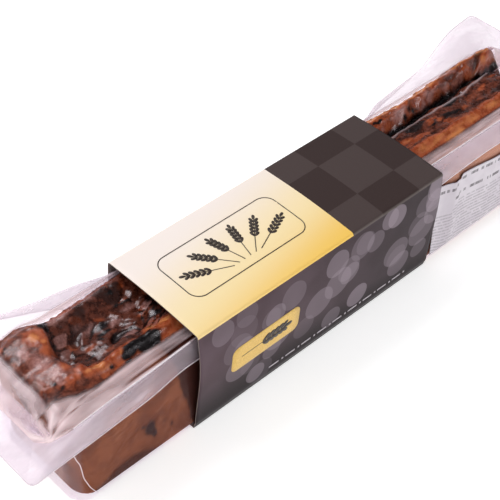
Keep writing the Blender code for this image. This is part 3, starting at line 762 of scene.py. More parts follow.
def board_material():
    """The card's bare inner face and cut edge."""
    paint = Paint("bare board")
    fibre = paint.noise(paint.place(), 0.9 * MM, 4, stretch=(4, 1, 1))
    colour = paint.blend(paint.rise(fibre, 0.3, 0.7), srgb(116, 103, 100), srgb(140, 126, 120))
    normal = paint.bumps(fibre, 0.05 * MM, 0.5)
    return paint.finish_matt(colour, 0.85, normal)


def ink_material(name, dark, light):
    paint = Paint(name)
    speckle = paint.noise(paint.place(), 0.4 * MM, 3)
    colour = paint.blend(paint.rise(speckle, 0.35, 0.7), dark, light)
    normal = paint.bumps(speckle, 0.02 * MM, 0.4)
    return paint.finish_matt(colour, 0.45, normal)


def paper_material():
    """White label paper, greyed by painted shade, with rows of small generic strokes, bolder in the top rows.
    """
    paint = Paint("label paper")
    place = paint.place()
    x = paint.add("ShaderNodeSeparateXYZ", {0: place}).outputs["X"]
    below = paint.mark("below")
    past = paint.rise(x, LABEL_CREASE_X, LABEL_CREASE_X + 3 * MM)
    before = paint.math("SUBTRACT", 1.0, past)
    rows = paint.math("DIVIDE", below, ROW_PITCH)
    words = words_along(paint, x, paint.times(paint.math("FLOOR", rows), 3.7 * MM), 1.9 * MM)
    first = paint.math("MULTIPLY_ADD", before, FIRST_ROW_BY_SLEEVE - FIRST_ROW, FIRST_ROW)
    ink = paint.times(words, paint.math("LESS_THAN", paint.math("FRACT", rows), STROKE_SHARE))
    ink = paint.times(ink, paint.math("GREATER_THAN", below, first))
    bold = paint.times(bold_row(paint, x, below, BOLD_ROW_BY_SLEEVE), before)
    for middle in BOLD_ROWS:
        bold = paint.math("MAXIMUM", bold, paint.times(bold_row(paint, x, below, middle), past))
    soft = paint.noise(place, 6 * MM, 2)
    # The white paper is greyed by painted shade
    paper = paint.blend(paint.rise(soft, 0.3, 0.7), srgb(206, 198, 206), srgb(214, 207, 214))
    # More painted shade before the crease, deepening towards it
    shade = paint.times(paint.rise(x, LABEL_START, LABEL_CREASE_X - 2 * MM), before)
    paper = paint.blend(paint.times(shade, 0.6), paper, srgb(190, 181, 190))
    colour = paint.blend(paint.times(ink, 0.48), paper, srgb(120, 112, 120))
    colour = paint.blend(paint.times(bold, 0.8), colour, srgb(64, 54, 60))
    normal = paint.bumps(paint.noise(place, 0.8 * MM, 3), 0.03 * MM, 0.4)
    return paint.finish_matt(colour, 0.6, normal)


def words_along(paint, x, row, word, gaps=0.38):
    """Uneven strokes in words of about this length along a row. A higher value of gaps parts them more."""
    at = paint.add("ShaderNodeCombineXYZ", {0: x, 1: row}).outputs[0]
    letters = paint.rise(paint.noise(at, word / 4, 1), 0.35, 0.55, 0.45, 1)
    return paint.times(paint.rise(paint.noise(at, word, 1), gaps, gaps + 0.06), letters)


def bold_row(paint, x, below, middle):
    off = paint.math("ABSOLUTE", paint.math("SUBTRACT", below, middle))
    words = words_along(paint, x, 10 * middle, 2.6 * MM, 0.43)
    return paint.times(words, paint.math("LESS_THAN", off, BOLD_HEIGHT / 2))


# The loaf


@functools.cache
def crust_at(x):
    """The crust's named sizes at one place along the loaf."""
    far = ease(SLEEVE_START, SLEEVE_END, x)
    return {name: mix(*sizes, far) for name, sizes in CRUST.items()}


@functools.cache
def crust_edges(x):
    """Y of the crust's front and back edges at one place along the loaf."""
    return level(CRUST_FRONT, x), level(CRUST_BACK, x)


def crease_wander(x):
    return CREASE_WANDER * noise_at(x, 0, 19.0, 8)


def crease_y(x):
    return crust_at(x)["crease_y"] + CREASE_DRIFT * ease(*CREASE_DRIFTS, x) + crease_wander(x)


def crumple(x, y):
    """Slow lumps and finer ridges of the baked surface, as a share of their height."""
    at = Vector((x, y, 0)) / CRUMPLE_SIZE
    ridges = 0.5 - abs(noise.noise(at * 1.9 + Vector((7, 3, 1))))
    return noise.noise(at) + 0.6 * ridges


def plain_crust(x, y, front, back):
    """The crust's height between its ends: a front rim, a trough, a crease and a back ridge."""
    size = crust_at(x)
    height = size["plain"]
    height += size["rim_height"] * bump(y - front - RIM_INSET, size["rim_width"])
    height += size["ridge_height"] * bump(y - back + RIDGE_INSET, size["ridge_width"])
    height -= size["trough_depth"] * bump(y - (front + back) / 2, (back - front) * TROUGH_SHARE)
    deeper = 1 + 0.5 * ease(*CREASE_DEEPENS, x)
    height -= deeper * size["crease_depth"] * bump(y - crease_y(x), CREASE_WIDTH)
    return height


@functools.cache
def lip_inner(y):
    return level(LIP_INNER, y)


def lip_height(x, y):
    """The lip is a roll with two knobs: it falls towards the loaf's end."""
    fall = min(max((lip_inner(0) - 1.5 * MM - x) / (12 * MM), 0.0), 1.3)
    knobs = sum(height * bump(y - middle, wide) for middle, wide, height in LIP_KNOBS)
    return LIP_TOP + knobs - 2.0 * MM * fall**1.5


def lip_share(x, y):
    """1 on the thick lip at the near end, 0 beyond it."""
    if x > LIP_REACH:
        return 0.0
    wander = 0.8 * MM * noise_at(x, y, 71.0, 3)
    inner = lip_inner(round(y, 4))
    return 1 - ease(inner - LIP_SLOPE / 2, inner + LIP_SLOPE / 2, x + wander)


def leaf_at(x, y):
    """The leaf of skin at (x, y): its height, how near its edge is from 0 to 1, and its own number."""
    length, width = (LEAF_LENGTH, LEAF_WIDTH) if x < 0 else (FAR_LEAF_LENGTH, FAR_LEAF_WIDTH)
    width *= mix(1, 0.55, ease(*NARROW_LEAVES, x)) if x < 0 else 1
    bend = 0.5 * noise_at(x, y, 11.3, 8, 5)
    slant = LEAF_SLANT * min(x + 60 * MM, 0.0)
    place = Vector((x / length + (bend if x < 0 else 0.2 * bend), (y - slant) / width + bend, 4.0))
    gaps, centres = noise.voronoi(place)
    shares, heights, numbers = [], [], []
    for gap, centre in zip(gaps[:3], centres[:3]):
        lean = Vector([noise.noise(centre * 13.7 + Vector((shift, 0, 0))) for shift in LEAN_SHIFTS])
        shares.append(math.exp(-(gap - gaps[0]) * LEAF_SHARPNESS))
        heights.append(0.6 * noise.noise(centre * 31.7) + 1.4 * lean.dot(place - centre))
        numbers.append(noise.noise(centre * 17.3))
    height, number = (np.dot(shares, values) / sum(shares) for values in (heights, numbers))
    return float(height), 1 - ease(0.03, 0.2, gaps[1] - gaps[0]), float(number)


def streaks(x, y):
    """Creases along the loaf. 1 on a crest."""
    return 1 - 2 * abs(noise_at(x, y, 5.7, 17, 2.6))


def near_share(x):
    """1 in the crust before the sleeve, 0 in the crust behind it."""
    return 1 - ease(*NEAR_TO_FAR, x)


def trough_share(x, y):
    """1 between the rims, 0 on them."""
    front, back = crust_edges(x)
    wander = 1.2 * MM * noise_at(x, y, 72.0, 6, 4)
    narrower = 2.0 * MM * ease(*NARROW_TROUGH, x)
    inside = ease(5.0 * MM, 8.0 * MM, y - front - narrower + wander)
    inside *= 1 - 0.6 * ease(-2.4 * MM, -0.8 * MM, y - back)
    return inside * (1 - lip_share(x, y))


def past_crease(x, y):
    """1 on the far ridge, 0 before the crease."""
    return (1 - near_share(x)) * ease(crease_y(x), crease_y(x) + 2 * MM, y)


def small_relief(x, y, near, trough, lip):
    """Leaves in the near trough, lumps and crumbs on the lip, threads on the rim and crags at the far end."""
    rim = near * (1 - trough) * (1 - lip)
    lump = 0.5 * noise_at(x, y, 12.0, 4.5) * (0.3 + ease(9 * MM, 15 * MM, y))
    wave = 0.8 * (0.4 - abs(noise_at(x, y, 16.0, 5, 7)))
    crumb = 0.9 * noise_at(x, y, 13.0, 1.3) * bump(x + 124 * MM, 5 * MM) * bump(y + 8 * MM, 4.5 * MM)
    ridge = 0.7 * noise_at(x, y, 14.0, 1.9, 5) * (1 - ease(*RIM_RIDGES_END, x))
    threads = 0.5 * noise_at(x, y, 15.0, 9, 1.3) * ease(*RIM_THREADS_START, x)
    relief = near * lip * (lump + wave + crumb) + rim * (ridge + threads)
    crag = past_crease(x, y) * CRAG_HEIGHT / MM
    leaf = near * trough * LEAF_HEIGHT / MM + crag + 0.5 * (1 - near)
    if leaf > 0.01:
        relief += leaf * leaf_at(x, y)[0]
    relief += crag * 0.9 * noise_at(x, y, 18.0, 4.5, 2.2)
    return (relief + (1 - near) * 0.3 * streaks(x, y)) * MM


def crust_height(x, y):
    """How high the top of the crust lies at (x, y)."""
    front, back = crust_edges(x)
    inside = min(ease(0, 5 * MM, y - front), ease(0, 4 * MM, back - y))
    near, trough, lip = near_share(x), trough_share(x, y), lip_share(x, y)
    height = mix(plain_crust(x, y, front, back), lip_height(x, y), lip)
    height += crust_at(x)["crumple"] * crumple(x, y) * inside * (1 - 0.7 * lip)
    height += min(1.0, inside + 0.4) * small_relief(x, y, near, trough, lip)
    top = mix(CRUST_EDGE_Z, height, mix(EDGE_SHARE, 1, inside))
    over = max(top - HIGHEST_CRUST + SOFT_TOP, 0.0)
    return min(top, HIGHEST_CRUST - SOFT_TOP) + 1.5 * SOFT_TOP * math.tanh(over / (1.5 * SOFT_TOP))


def baked_height(x, y):
    """The crust with its finest pits and blisters."""
    pits = 0.12 * noise_at(x, y, 2.2, 1.7) + 0.07 * noise_at(x, y, 8.1, 0.9)
    return crust_height(x, y) + pits * MM


def ragged_edges(x):
    """Y of the crust's front and back edges with their small bites."""
    front, back = crust_edges(x)
    front += (0.6 * noise_at(x, 0, 3.1, 5) + 0.35 * noise_at(x, 0, 6.4, 1.7)) * MM
    back += (0.8 * noise_at(x, 0, 4.7, 4) + 0.5 * noise_at(x, 0, 9.2, 1.5)) * MM
    return front, back


def patches_at(rows, x, y):
    """The strength of the strongest of the patches at (x, y), with uneven outlines."""
    wander_x = 1.6 * MM * noise_at(x, y, 51.0, 3)
    wander_y = 0.9 * MM * noise_at(x, y, 52.0, 3)
    return max(
        strength * bump(x + wander_x - at_x, half_x) * bump(y + wander_y - at_y, half_y)
        for at_x, at_y, half_x, half_y, strength in rows
    )


def crust_zones(x, y):
    """How much of (x, y) is in the near leaves, rim and lip, and in the far middle and ridge."""
    near, trough = near_share(x), trough_share(x, y)
    lip = near * lip_share(x, y)
    ridge = past_crease(x, y)
    past_rim = ease(0, 1.5 * MM, y - crust_edges(x)[0] - 5.6 * MM)
    return near * trough, near * (1 - trough) * (1 - lip), lip, (1 - near) * (1 - ridge) * past_rim, ridge


def crust_marks(x, y):
    """How dark (burnt, painted shade), golden and pale (painted sheen) the crust is at (x, y), and its near
    lip share.
    """
    near, far = near_share(x), 1 - near_share(x)
    front, back = crust_edges(x)
    height, edge, number = leaf_at(x, y)
    leaves, rim, lip, middle, ridge = crust_zones(x, y)
    rim *= 0.75 + 0.5 * noise_at(x, y, 43.0, 4, 3)
    ruddy = ease(0.15, 0.5, noise_at(x, y, 41.0, 7, 3))
    uneven = noise_at(x, y, 46.0, 7, 1.6)
    # Dark: burnt patches and leaves, and painted shade in the gaps and low places between leaves
    burnt_and_shade = max(
        leaves * max(0.9 * edge * ease(-0.3, 0.3, number), 0.85 * ease(0.15, 0.6, -height)),
        leaves * (0.32 + 0.34 * ease(0.2, 0.5, -number)),
        # Painted shade in the far crease
        far * bump(y - crease_y(x), 1.4 * MM),
        0.8 * middle * ease(-0.1, 0.5, number),
        # Painted shade in the ridge's hollows
        0.7 * ridge * max(edge * 0.7, ease(0.1, 0.5, -height)),
        0.5 * bump(y - front, 0.7 * MM),
        0.45 * near * bump(x + LOAF_LENGTH / 2, 1.0 * MM),
        patches_at(BURNT_AND_SHADE_PATCHES, x, y),
    )
    gold = max(
        1.15 * far * bump(y - front - 2.6 * MM, 3.2 * MM) * (0.86 + 0.4 * uneven),
        1.3 * far * ease(-5.0 * MM, -2.4 * MM, y - back),
        ridge * (0.55 + 0.7 * number),
        0.8 * middle * ease(0.0, 0.6, -number),
        0.2 * middle,
        0.9 * rim,
        0.5 * ruddy,
        lip * (0.3 + 0.25 * noise_at(x, y, 44.0, 3.5)),
        patches_at(GOLD_PATCHES, x, y),
    )
    # Pale: a painted sheen on leaves, on the ridge's lumps and in patches
    pale = max(
        0.75 * leaves * ease(0.05, 0.35, number) * (1 - edge),
        ridge * ease(0.1, 0.45, -number) * (1 - edge),
        patches_at(SHEEN_PATCHES, x, y),
    )
    return [min(max(mark, 0.0), MOST_MARK) for mark in (burnt_and_shade, gold, pale, lip)]


def side_marks(x, z):
    """How wet the side is, beside the sleeve and along the near foot, and how dark its spots are."""
    wander = 1.4 * MM * noise_at(x, z, 17.0, 5)
    beside = ease(-1 * MM, 1.6 * MM, x + 78.3 * MM + 0.21 * z + wander) * (1 - ease(42 * MM, 56 * MM, x))
    height = 9.5 * MM * bump(x + 109 * MM, 16 * MM)
    foot = 1 - ease(height - 2.5 * MM, height + 1 * MM, z + wander)
    return max(beside, 0.8 * foot), min(1.0, patches_at(SIDE_SPOTS, x, z))


def side_line(edge, side):
    """Down one side from the crust's edge: step, shoulder, wall and rounded foot. side is 1 at the back."""
    wall_top = np.array([side * LOAF_SHOULDER, SHOULDER_Z])
    under = np.array([edge[0] - side * 0.4 * MM, edge[1] - LID_STEP])
    pull = np.array([side * (LOAF_SHOULDER + 0.1 * MM), edge[1] - LID_STEP - 0.4 * MM])
    line = [(edge[0] + side * 0.1 * MM, edge[1] - 0.6 * LID_STEP), tuple(under)]
    line += [tuple(bezier(under, pull, wall_top, (k + 1) / 8)) for k in range(8)]
    for k in range(SIDE_STEPS):
        share = (k + 1) / SIDE_STEPS
        z = mix(SHOULDER_Z, LOAF_FLOOR + FOOT_ROUND, share)
        line.append((side * mix(LOAF_SHOULDER, LOAF_FOOT, share), z))
    for turn in (18, 36, 54, 72, 90):
        angle = math.radians(turn)
        y = LOAF_FOOT - FOOT_ROUND * (1 - math.cos(angle))
        line.append((side * y, LOAF_FLOOR + FOOT_ROUND * (1 - math.sin(angle))))
    line += [(side * share * (LOAF_FOOT - FOOT_ROUND), LOAF_FLOOR) for share in (0.7, 0.4, 0.12)]
    return line


def loaf_section(x):
    """One closed outline of the loaf across X, as rows of (y, z), from the crust's front edge round."""
    outline = [(y, baked_height(x, y)) for y in np.linspace(*ragged_edges(x), ACROSS)]
    back_edge, front_point = np.array(outline[-1]), np.array(outline[0])
    outline += side_line(back_edge, 1)
    outline += side_line(front_point, -1)[::-1]
    return outline


def far_fall(x, y, z):
    """How far the crust falls back from the far end's ridge, towards the front."""
    share = (1 - ease(*FAR_FALL_Y, y)) * ease(*FAR_FALL_Z, z)
    return FAR_FALL * share * ease(FAR_FALL_START, LOAF_LENGTH / 2, x)


def before_fall(x, y):
    """The place along the loaf, before the far end's fall, of the crust that lies at (x, y)."""
    place = x
    for _ in range(3):
        place = x * LOAF_END / (LOAF_END - far_fall(place, y, CRUST_EDGE_Z))
    return place


def loaf_ring(x, outline, turn=0, share=1.0):
    """The outline as points in space. turn is the angle, in degrees, round the corner of an end."""
    angle = math.radians(turn)
    middle_z = (LOAF_FLOOR + HIGHEST_CRUST) / 2
    inward = (1 - math.cos(angle)) / LOAF_FOOT
    ring = []
    for y, z in outline:
        low = 1 - ease(LOAF_FLOOR, CRUST_EDGE_Z, z)
        radius = mix(CRUST_CORNER, FOOT_CORNER, low)
        inset = END_TAPER * low + far_fall(x, y, z) + radius * (1 - math.sin(angle))
        reach = (LOAF_LENGTH / 2 - inset) / LOAF_END
        shrink_y, shrink_z = share * (1 - radius * inward), share * (1 - END_ROUND * inward)
        ring.append((x * reach, y * shrink_y, middle_z + (z - middle_z) * shrink_z))
    return ring


def give_sides(piece):
    """Gives the faces below the crust the piece's second material."""
    top = piece.data.attributes["top"].data
    for face in piece.data.polygons:
        face.material_index = int(all(top[k].value < 0.5 for k in face.vertices))


def make_loaf(materials):
    near, far = loaf_section(-LOAF_END), loaf_section(LOAF_END)
    rows = [loaf_ring(-LOAF_END, near, 90, share) for share in reversed(FACE_SHARES)]
    rows += [loaf_ring(-LOAF_END, near, turn) for turn in reversed(END_TURNS)]
    rows += [loaf_ring(x, loaf_section(x)) for x in places_along(LOAF_END, 0.6 * MM, 2 * MM)]
    rows += [loaf_ring(LOAF_END, far, turn) for turn in END_TURNS]
    rows += [loaf_ring(LOAF_END, far, 90, share) for share in FACE_SHARES]
    marks = {name: [] for name in (*CRUST_MARKS, "top", *SIDE_MARKS)}
    no_crust, no_side = [0.0] * len(CRUST_MARKS), [0.0] * len(SIDE_MARKS)
    for row in rows:
        tops = [1.0 if k < ACROSS else 0.0 for k in range(len(row))]
        tops[ACROSS] = tops[-1] = 1.0
        crust = [crust_marks(x, y) if top else no_crust for (x, y, z), top in zip(row, tops)]
        side = [no_side if top else side_marks(x, z) for (x, y, z), top in zip(row, tops)]
        marks["top"].append(tops)
        for values, names in ((crust, CRUST_MARKS), (side, SIDE_MARKS)):
            for name, column in zip(names, zip(*values)):
                marks[name].append(column)
    piece = loft("baked_loaf", rows, materials, marks)
    give_sides(piece)
    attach(piece, "root")
    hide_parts("loaf")


# The film


def rounded_loop(half_length, front, back, radius, end_z):
    """A closed loop round the pack. front and back give Y and Z at a place along X."""
    straight = half_length - radius
    places = np.linspace(-straight, straight, 150)
    loop = [(x, *front(x)) for x in places]
    loop += loop_end(half_length, front(straight), back(straight), radius, end_z)
    loop += [(x, *back(x)) for x in reversed(places)]
    loop += loop_end(-half_length, back(-straight), front(-straight), radius, end_z)
    return np.array(loop)


def loop_end(end, first, second, radius, end_z):
    """The loop's way round one end, from a point of one long side to a point of the other."""
    inward = math.copysign(radius, second[0] - first[0])
    span = first[0] + inward, second[0] - inward
    across = [(end, mix(*span, share), end_z) for share in np.linspace(0, 1, 26)]
    return corner(end, first, inward, end_z) + across + corner(end, second, -inward, end_z)[::-1]


def corner(end, side_point, inward, end_z):
    """Points of a quarter turn from a long side to the end, whose radius is inward's size."""
    y, z = side_point
    along = math.copysign(inward, end)
    points = []
    for turn in np.linspace(0, 90, 12)[1:-1]:
        angle = math.radians(turn)
        x = end - along * (1 - math.sin(angle))
        points.append((x, y + inward * (1 - math.cos(angle)), mix(z, end_z, turn / 90)))
    return points


def pocket_loop(half_length, half_width, radius, z):
    if half_length == 0:
        half_length, half_width, radius = 100 * MM, MM, 0.4 * MM
    return rounded_loop(half_length, lambda x: (-half_width, z), lambda x: (half_width, z), radius, z)


def knot_loop(half_length, front, back, radius, end_z):
    return rounded_loop(
        half_length,
        lambda x: tuple(smooth_line(front, x)),
        lambda x: tuple(smooth_line(back, x)),
        radius,
        end_z,
    )


def fold_loop():
    return knot_loop(FOLD_END, FRONT_FOLD, BACK_FOLD, FOLD_ROUND, FOLD_END_Z)


def cut_loop():
    return knot_loop(CUT_END, FRONT_CUT, BACK_CUT, CUT_ROUND, CUT_END_Z)


def film_rings():
    """Loops from the pocket's floor over the fold out to the cut edge, and how much each is of the rim."""
    rings = [pocket_loop(*sizes) for sizes in POCKET_RINGS]
    fine, shares = [rings[0]], [0.0]
    for i, count in enumerate(POCKET_STEPS):
        for k in range(1, count + 1):
            fine.append(between(rings, i, k / count))
            shares.append(0.0)
    wall = rings[-1]
    fold = fold_loop()
    cut = cut_loop()
    over_wall = wall.copy()
    over_wall[:, 2] = mix(wall[:, 2], fold[:, 2], OVER_WALL)
    for share in np.linspace(0, 1, FOLD_STEPS + 1)[1:]:
        fine.append(bezier(wall, over_wall, fold, share))
        shares.append(share**3)
    outward = (cut - fold) * (1, 1, 0)
    width = np.linalg.norm(outward, axis=1)[:, None]
    arch = fold + outward * (0.6 + 0.8 * MM / width)
    for share in np.linspace(0, 1, RIM_STEPS + 1)[1:]:
        fine.append(bezier(fold, arch, cut, share))
        shares.append(1.0)
    return fine, shares


def between(rings, i, share):
    """A smooth step from one ring to the next, leaning towards the rings beyond them."""
    before, low, high = rings[max(i - 1, 0)], rings[i], rings[i + 1]
    after = rings[min(i + 2, len(rings) - 1)]
    if i <= 1:
        return mix(low, high, share)
    return smooth_step(low, high, (high - before) / 2, (after - low) / 2, share)


def tray_veil(x, y, z, rim):
    """How milky the tray is: nearly clear at the pocket's walls, white at its corners and on the rim."""
    corners = 0.2 * ease(*CORNER_HINT, abs(x)) + ease(*CORNER_START, abs(x))
    pocket = POCKET_VEIL + CORNER_VEIL * corners
    front = level(RIM_VEIL, x)
    # Painted glints, as milkier places on the front rim
    for glint_x, glint_z in RIM_GLINTS:
        front += 0.25 * bump(x - glint_x, 4 * MM) * bump(z - glint_z, 1.2 * MM)
    back = mix(*BACK_VEIL, ease(SLEEVE_START, SLEEVE_END, x))
    return mix(pocket, mix(front, back, ease(0, 18 * MM, y)), rim)


def make_tray(material):
    rings, shares = film_rings()
    veils = [[tray_veil(*point, share) for point in ring] for ring, share in zip(rings, shares)]
    rows = [[tuple(point) for point in ring] for ring in rings]
    tray = loft("film_tray", rows, [material], {"veil": veils}, caps=(True, False))
    thicken(tray, FILM)
    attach(tray, "root")
    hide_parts("film")


def thread(name, points, radius, material, closed=False):
    """A thin raised line of film along points."""
    ways = np.gradient(np.array(points), axis=0)
    rows = []
    for point, way in zip(points, ways):
        side = Vector(way).normalized().orthogonal()
        other = Vector(way).normalized().cross(side)
        turns = [2 * math.pi * k / 6 for k in range(6)]
        rows.append([Vector(point) + radius * (side * math.cos(a) + other * math.sin(a)) for a in turns])
    piece = loft(name, rows, [material], caps=(not closed, not closed))
    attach(piece, "root")


def pocket_y(x, z):
    """Where the pocket's front wall lies, also round its corners."""
    knots = [(ring[3], *ring[:3]) for ring in POCKET_RINGS[1:]]
    half_length, half_width, radius = smooth_line(knots, z)
    beyond = max(abs(x) - (half_length - radius), 0.0)
    return -(half_width - radius) - math.sqrt(max(radius**2 - beyond**2, 0.0))


def make_film_lines(material):
    """Pale threads that paint the highlight lines of the pocket's near corner, the front fold and the rim's
    cut edge.
    """
    heights = np.linspace(POCKET_CREASE[0][0], POCKET_CREASE[-1][0], 40)
    crease = sorted(POCKET_CREASE)
    points = [(level(crease, z), z) for z in heights]
    thread("pocket_crease", [(x, pocket_y(x, z), z) for x, z in points], CREASE_RADIUS, material)
    folds = {"near_fold": (-130 * MM, SLEEVE_START - MM), "far_fold": (SLEEVE_END + MM, 132 * MM)}
    for name, ends in folds.items():
        points = [(x, fold_at(x)[0][0], fold_at(x)[0][1] + FILM) for x in np.linspace(*ends, 60)]
        thread(name, points, FOLD_RADIUS, material)
    edge = cut_loop()
    thread("cut_edge", np.vstack([edge, edge[:1]]), EDGE_RADIUS, material, closed=True)


def film_height(x, y):
    """How high the film inside the fold lies, and how far out from the crust, in all and along the pack."""
    end = LOAF_LENGTH / 2 - 1.2 * MM
    far_end = end - far_fall(end, y, CRUST_EDGE_Z)
    near_x = min(max(before_fall(x, y), -end), end)
    front, back = crust_edges(near_x)
    over = crust_height(near_x, min(max(y, front), back)) + CLING
    fold_front, fold_back = fold_at(x)
    out_y = max((front - y) / (front - fold_front[0]), (y - back) / (fold_back[0] - back), 0.0)
    out_x = max((x - far_end) / (FOLD_END - far_end), (-x - end) / (FOLD_END - end), 0.0)
    out = min(math.hypot(out_x, out_y), 1.0)
    edge_z = mix(fold_front[1], fold_back[1], ease(fold_front[0], fold_back[0], y))
    edge_z = mix(edge_z, FOLD_END_Z, ease(131 * MM, FOLD_END, abs(x)))
    lift = 0.5 * MM * noise_at(x, y, 61.0, 30, 2.2) if out_y > out_x else 0.0
    lift += 0.5 * MM * noise_at(x, y, 63.0, 4, 14) * min(out_x, 1.0)
    ripple, reach = star_ripple(x, y)
    lift += 0.9 * MM * ripple * bump(reach, 13 * MM)
    height = mix(over, edge_z + 0.1 * MM, out) + math.sin(math.pi * out) * (lift - 0.3 * MM)
    height += 0.5 * MM * fold_share(x, y)
    return height, out, out_x


def star_ripple(x, y):
    """The ripple of the pleats that meet at the pack's front corners, and how far (x, y) is from there."""
    along, across = STAR[0] - abs(x), y - STAR[1]
    return math.sin(STAR_PLEATS * math.atan2(across, along) + 1.0), math.hypot(across, along)


@functools.cache
def fold_at(x):
    return tuple(smooth_line(FRONT_FOLD, x)), tuple(smooth_line(BACK_FOLD, x))


@functools.cache
def film_fold_y(x):
    return level(FILM_FOLD, x) + 0.8 * crease_wander(x)


def fold_share(x, y):
    """1 on the long fold of film over the far crust."""
    return bump(y - film_fold_y(x), 0.42 * MM) * ease(*BEYOND_SLEEVE, x) * (1 - ease(*FILM_FOLD_END, x))


def lid_veil(x, y, out, out_x):
    """How milky the film is: clear on the crust, streaked where it is drawn to the fold, painted highlights
    in white lumps.
    """
    band = 0.42 + 0.24 * noise_at(x, y, 81.0, 45, 1.4) + 0.14 * noise_at(x, y, 82.0, 9, 2)
    tent = 0.5 + 0.12 * noise_at(x, y, 84.0, 4, 9)
    thin = bump(out_x - 0.6, 0.34) * (1 - ease(8 * MM, 14 * MM, y))
    tent -= thin * (0.24 + 0.4 * max(noise_at(x, y, 83.0, 1.8, 5), 0.0))
    band -= 0.14 * near_front(x, y) + 0.22 * ease(-104 * MM, -84 * MM, x) * ease(0, -20 * MM, x)
    start = 0.1 * ease(0, 0.1, out_x)
    milky = mix(band, tent, ease(0, 0.25, out_x)) * ease(start, start + 0.2, out)
    if x < 0 and y < 0:
        milky -= 0.42 * bump(out - 0.8, 0.1) * ease(-113 * MM, -103 * MM, x)
    # A painted highlight along the fold's edge
    milky += 0.3 * bump(out - 1, 0.07)
    milky += 0.22 * fold_share(x, y)
    # Painted highlights on the pleats at the corners
    ripple, reach = star_ripple(x, y)
    milky += 0.3 * ripple * bump(reach - 5 * MM, 6 * MM)
    # White lumps of painted highlight, and clearer dark creases
    for at_x, at_y, half_x, half_y, strength in FILM_GLINTS_AND_CREASES:
        milky += strength * bump(x - at_x, half_x) * bump(y - at_y, half_y)
    return min(max(milky, 0.0), 0.95)


def near_front(x, y):
    """1 along the front beyond the sleeve, where the film over the band is thin."""
    return ease(*BEYOND_SLEEVE, x) * (1 - ease(0, 5 * MM, y))


def make_lid(material):
    """The film that lies on the crust and is drawn tight from there to the fold."""
    turns = [math.radians(t) for t in range(9, 91, 9)]
    tips = [FOLD_CORNER + FOLD_ROUND * math.sin(angle) for angle in turns]
    places = [-tip for tip in reversed(tips)] + places_along(FOLD_CORNER, 0.7 * MM, 3 * MM) + tips
    rows, veils = [], []
    for x in places:
        inset = 0.0
        if abs(x) > FOLD_CORNER:
            inset = FOLD_ROUND * (1 - math.sqrt(max(0.0, 1 - ((abs(x) - FOLD_CORNER) / FOLD_ROUND) ** 2)))
        front, back = fold_at(min(max(x, -FOLD_CORNER), FOLD_CORNER))
        row, veil = [], []
        for y in np.linspace(front[0] + inset, back[0] - inset, 88):
            z, out, out_x = film_height(x, y)
            row.append((x, y, z))
            veil.append(lid_veil(x, y, out, out_x))
        rows.append(row)
        veils.append(veil)
    lid = loft("film_lid", rows, [material], {"veil": veils}, closed=False)
    thicken(lid, FILM)
    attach(lid, "root")


# The sleeve


def bow(share, bulge, skew=1.0):
    """How far a panel stands out at this share of its width."""
    return bulge * math.sin(math.pi * min(max(share, 0.0), 1.0) ** skew)


def front_y(x, z):
    """Where the front panel's outer face lies."""
    near = 1 - (x - SLEEVE_START) / SLEEVE_LENGTH
    bulge = mix(FAR_BULGE, NEAR_BULGE, near**2)
    upper = SLEEVE_HEIGHT - SLEEVE_FOLD_ROUND
    share = (z - SLEEVE_BEVEL_HEIGHT) / (upper - SLEEVE_BEVEL_HEIGHT)
    return -SLEEVE_WIDTH / 2 - bow(share, bulge, BULGE_SKEW)


def top_z(y):
    half = SLEEVE_WIDTH / 2 - SLEEVE_FOLD_ROUND
    return SLEEVE_HEIGHT + bow((y + half) / (2 * half), TOP_BULGE)


def sleeve_section(x):
    """The sleeve's outer outline across X, with each point's distance round from the upper front fold."""
    half, top = SLEEVE_WIDTH / 2, SLEEVE_HEIGHT
    round_off = [math.radians(turn) for turn in (15, 30, 45, 60, 75)]
    foot = half - SLEEVE_BEVEL_WIDTH
    upper = top - SLEEVE_FOLD_ROUND
    front = [(-foot, 0.0)]
    front += [(front_y(x, z), z) for z in np.linspace(SLEEVE_BEVEL_HEIGHT, upper, 30)]
    lid = []
    for a in round_off:
        lid.append((-half + SLEEVE_FOLD_ROUND * (1 - math.cos(a)), upper + SLEEVE_FOLD_ROUND * math.sin(a)))
    lid += [(y, top_z(y)) for y in np.linspace(-half + SLEEVE_FOLD_ROUND, half - SLEEVE_FOLD_ROUND, 40)]
    for a in round_off:
        lid.append((half - SLEEVE_FOLD_ROUND * (1 - math.sin(a)), upper + SLEEVE_FOLD_ROUND * math.cos(a)))
    back = []
    for z in np.linspace(upper, SLEEVE_BEVEL_HEIGHT, 30):
        share = (z - SLEEVE_BEVEL_HEIGHT) / (upper - SLEEVE_BEVEL_HEIGHT)
        back.append((half + bow(1 - share, FAR_BULGE), z))
    back += [(y, 0.0) for y in np.linspace(foot, -foot, 12)[:-1]]
    arounds = [z - upper for _, z in front] + [y + half for y, _ in lid] + [SLEEVE_WIDTH + MM] * len(back)
    return front + lid + back, arounds


def make_sleeve():
    rows, arounds = [], []
    for x in np.linspace(SLEEVE_START, SLEEVE_END, 90):
        outline, around = sleeve_section(x)
        rows.append([(x, y, z) for y, z in outline])
        arounds.append(around)
    materials = [card_material(), board_material()]
    sleeve = loft("card_sleeve", rows, materials, {"around": arounds}, caps=(False, False))
    thicken(sleeve, CARD, -1, 1)
    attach(sleeve, "root")
    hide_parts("sleeve")


def on_top(x, y):
    return x, y, top_z(y) + PRINT_LIFT


def on_front(x, z):
    return x, front_y(x, z) - PRINT_LIFT, z


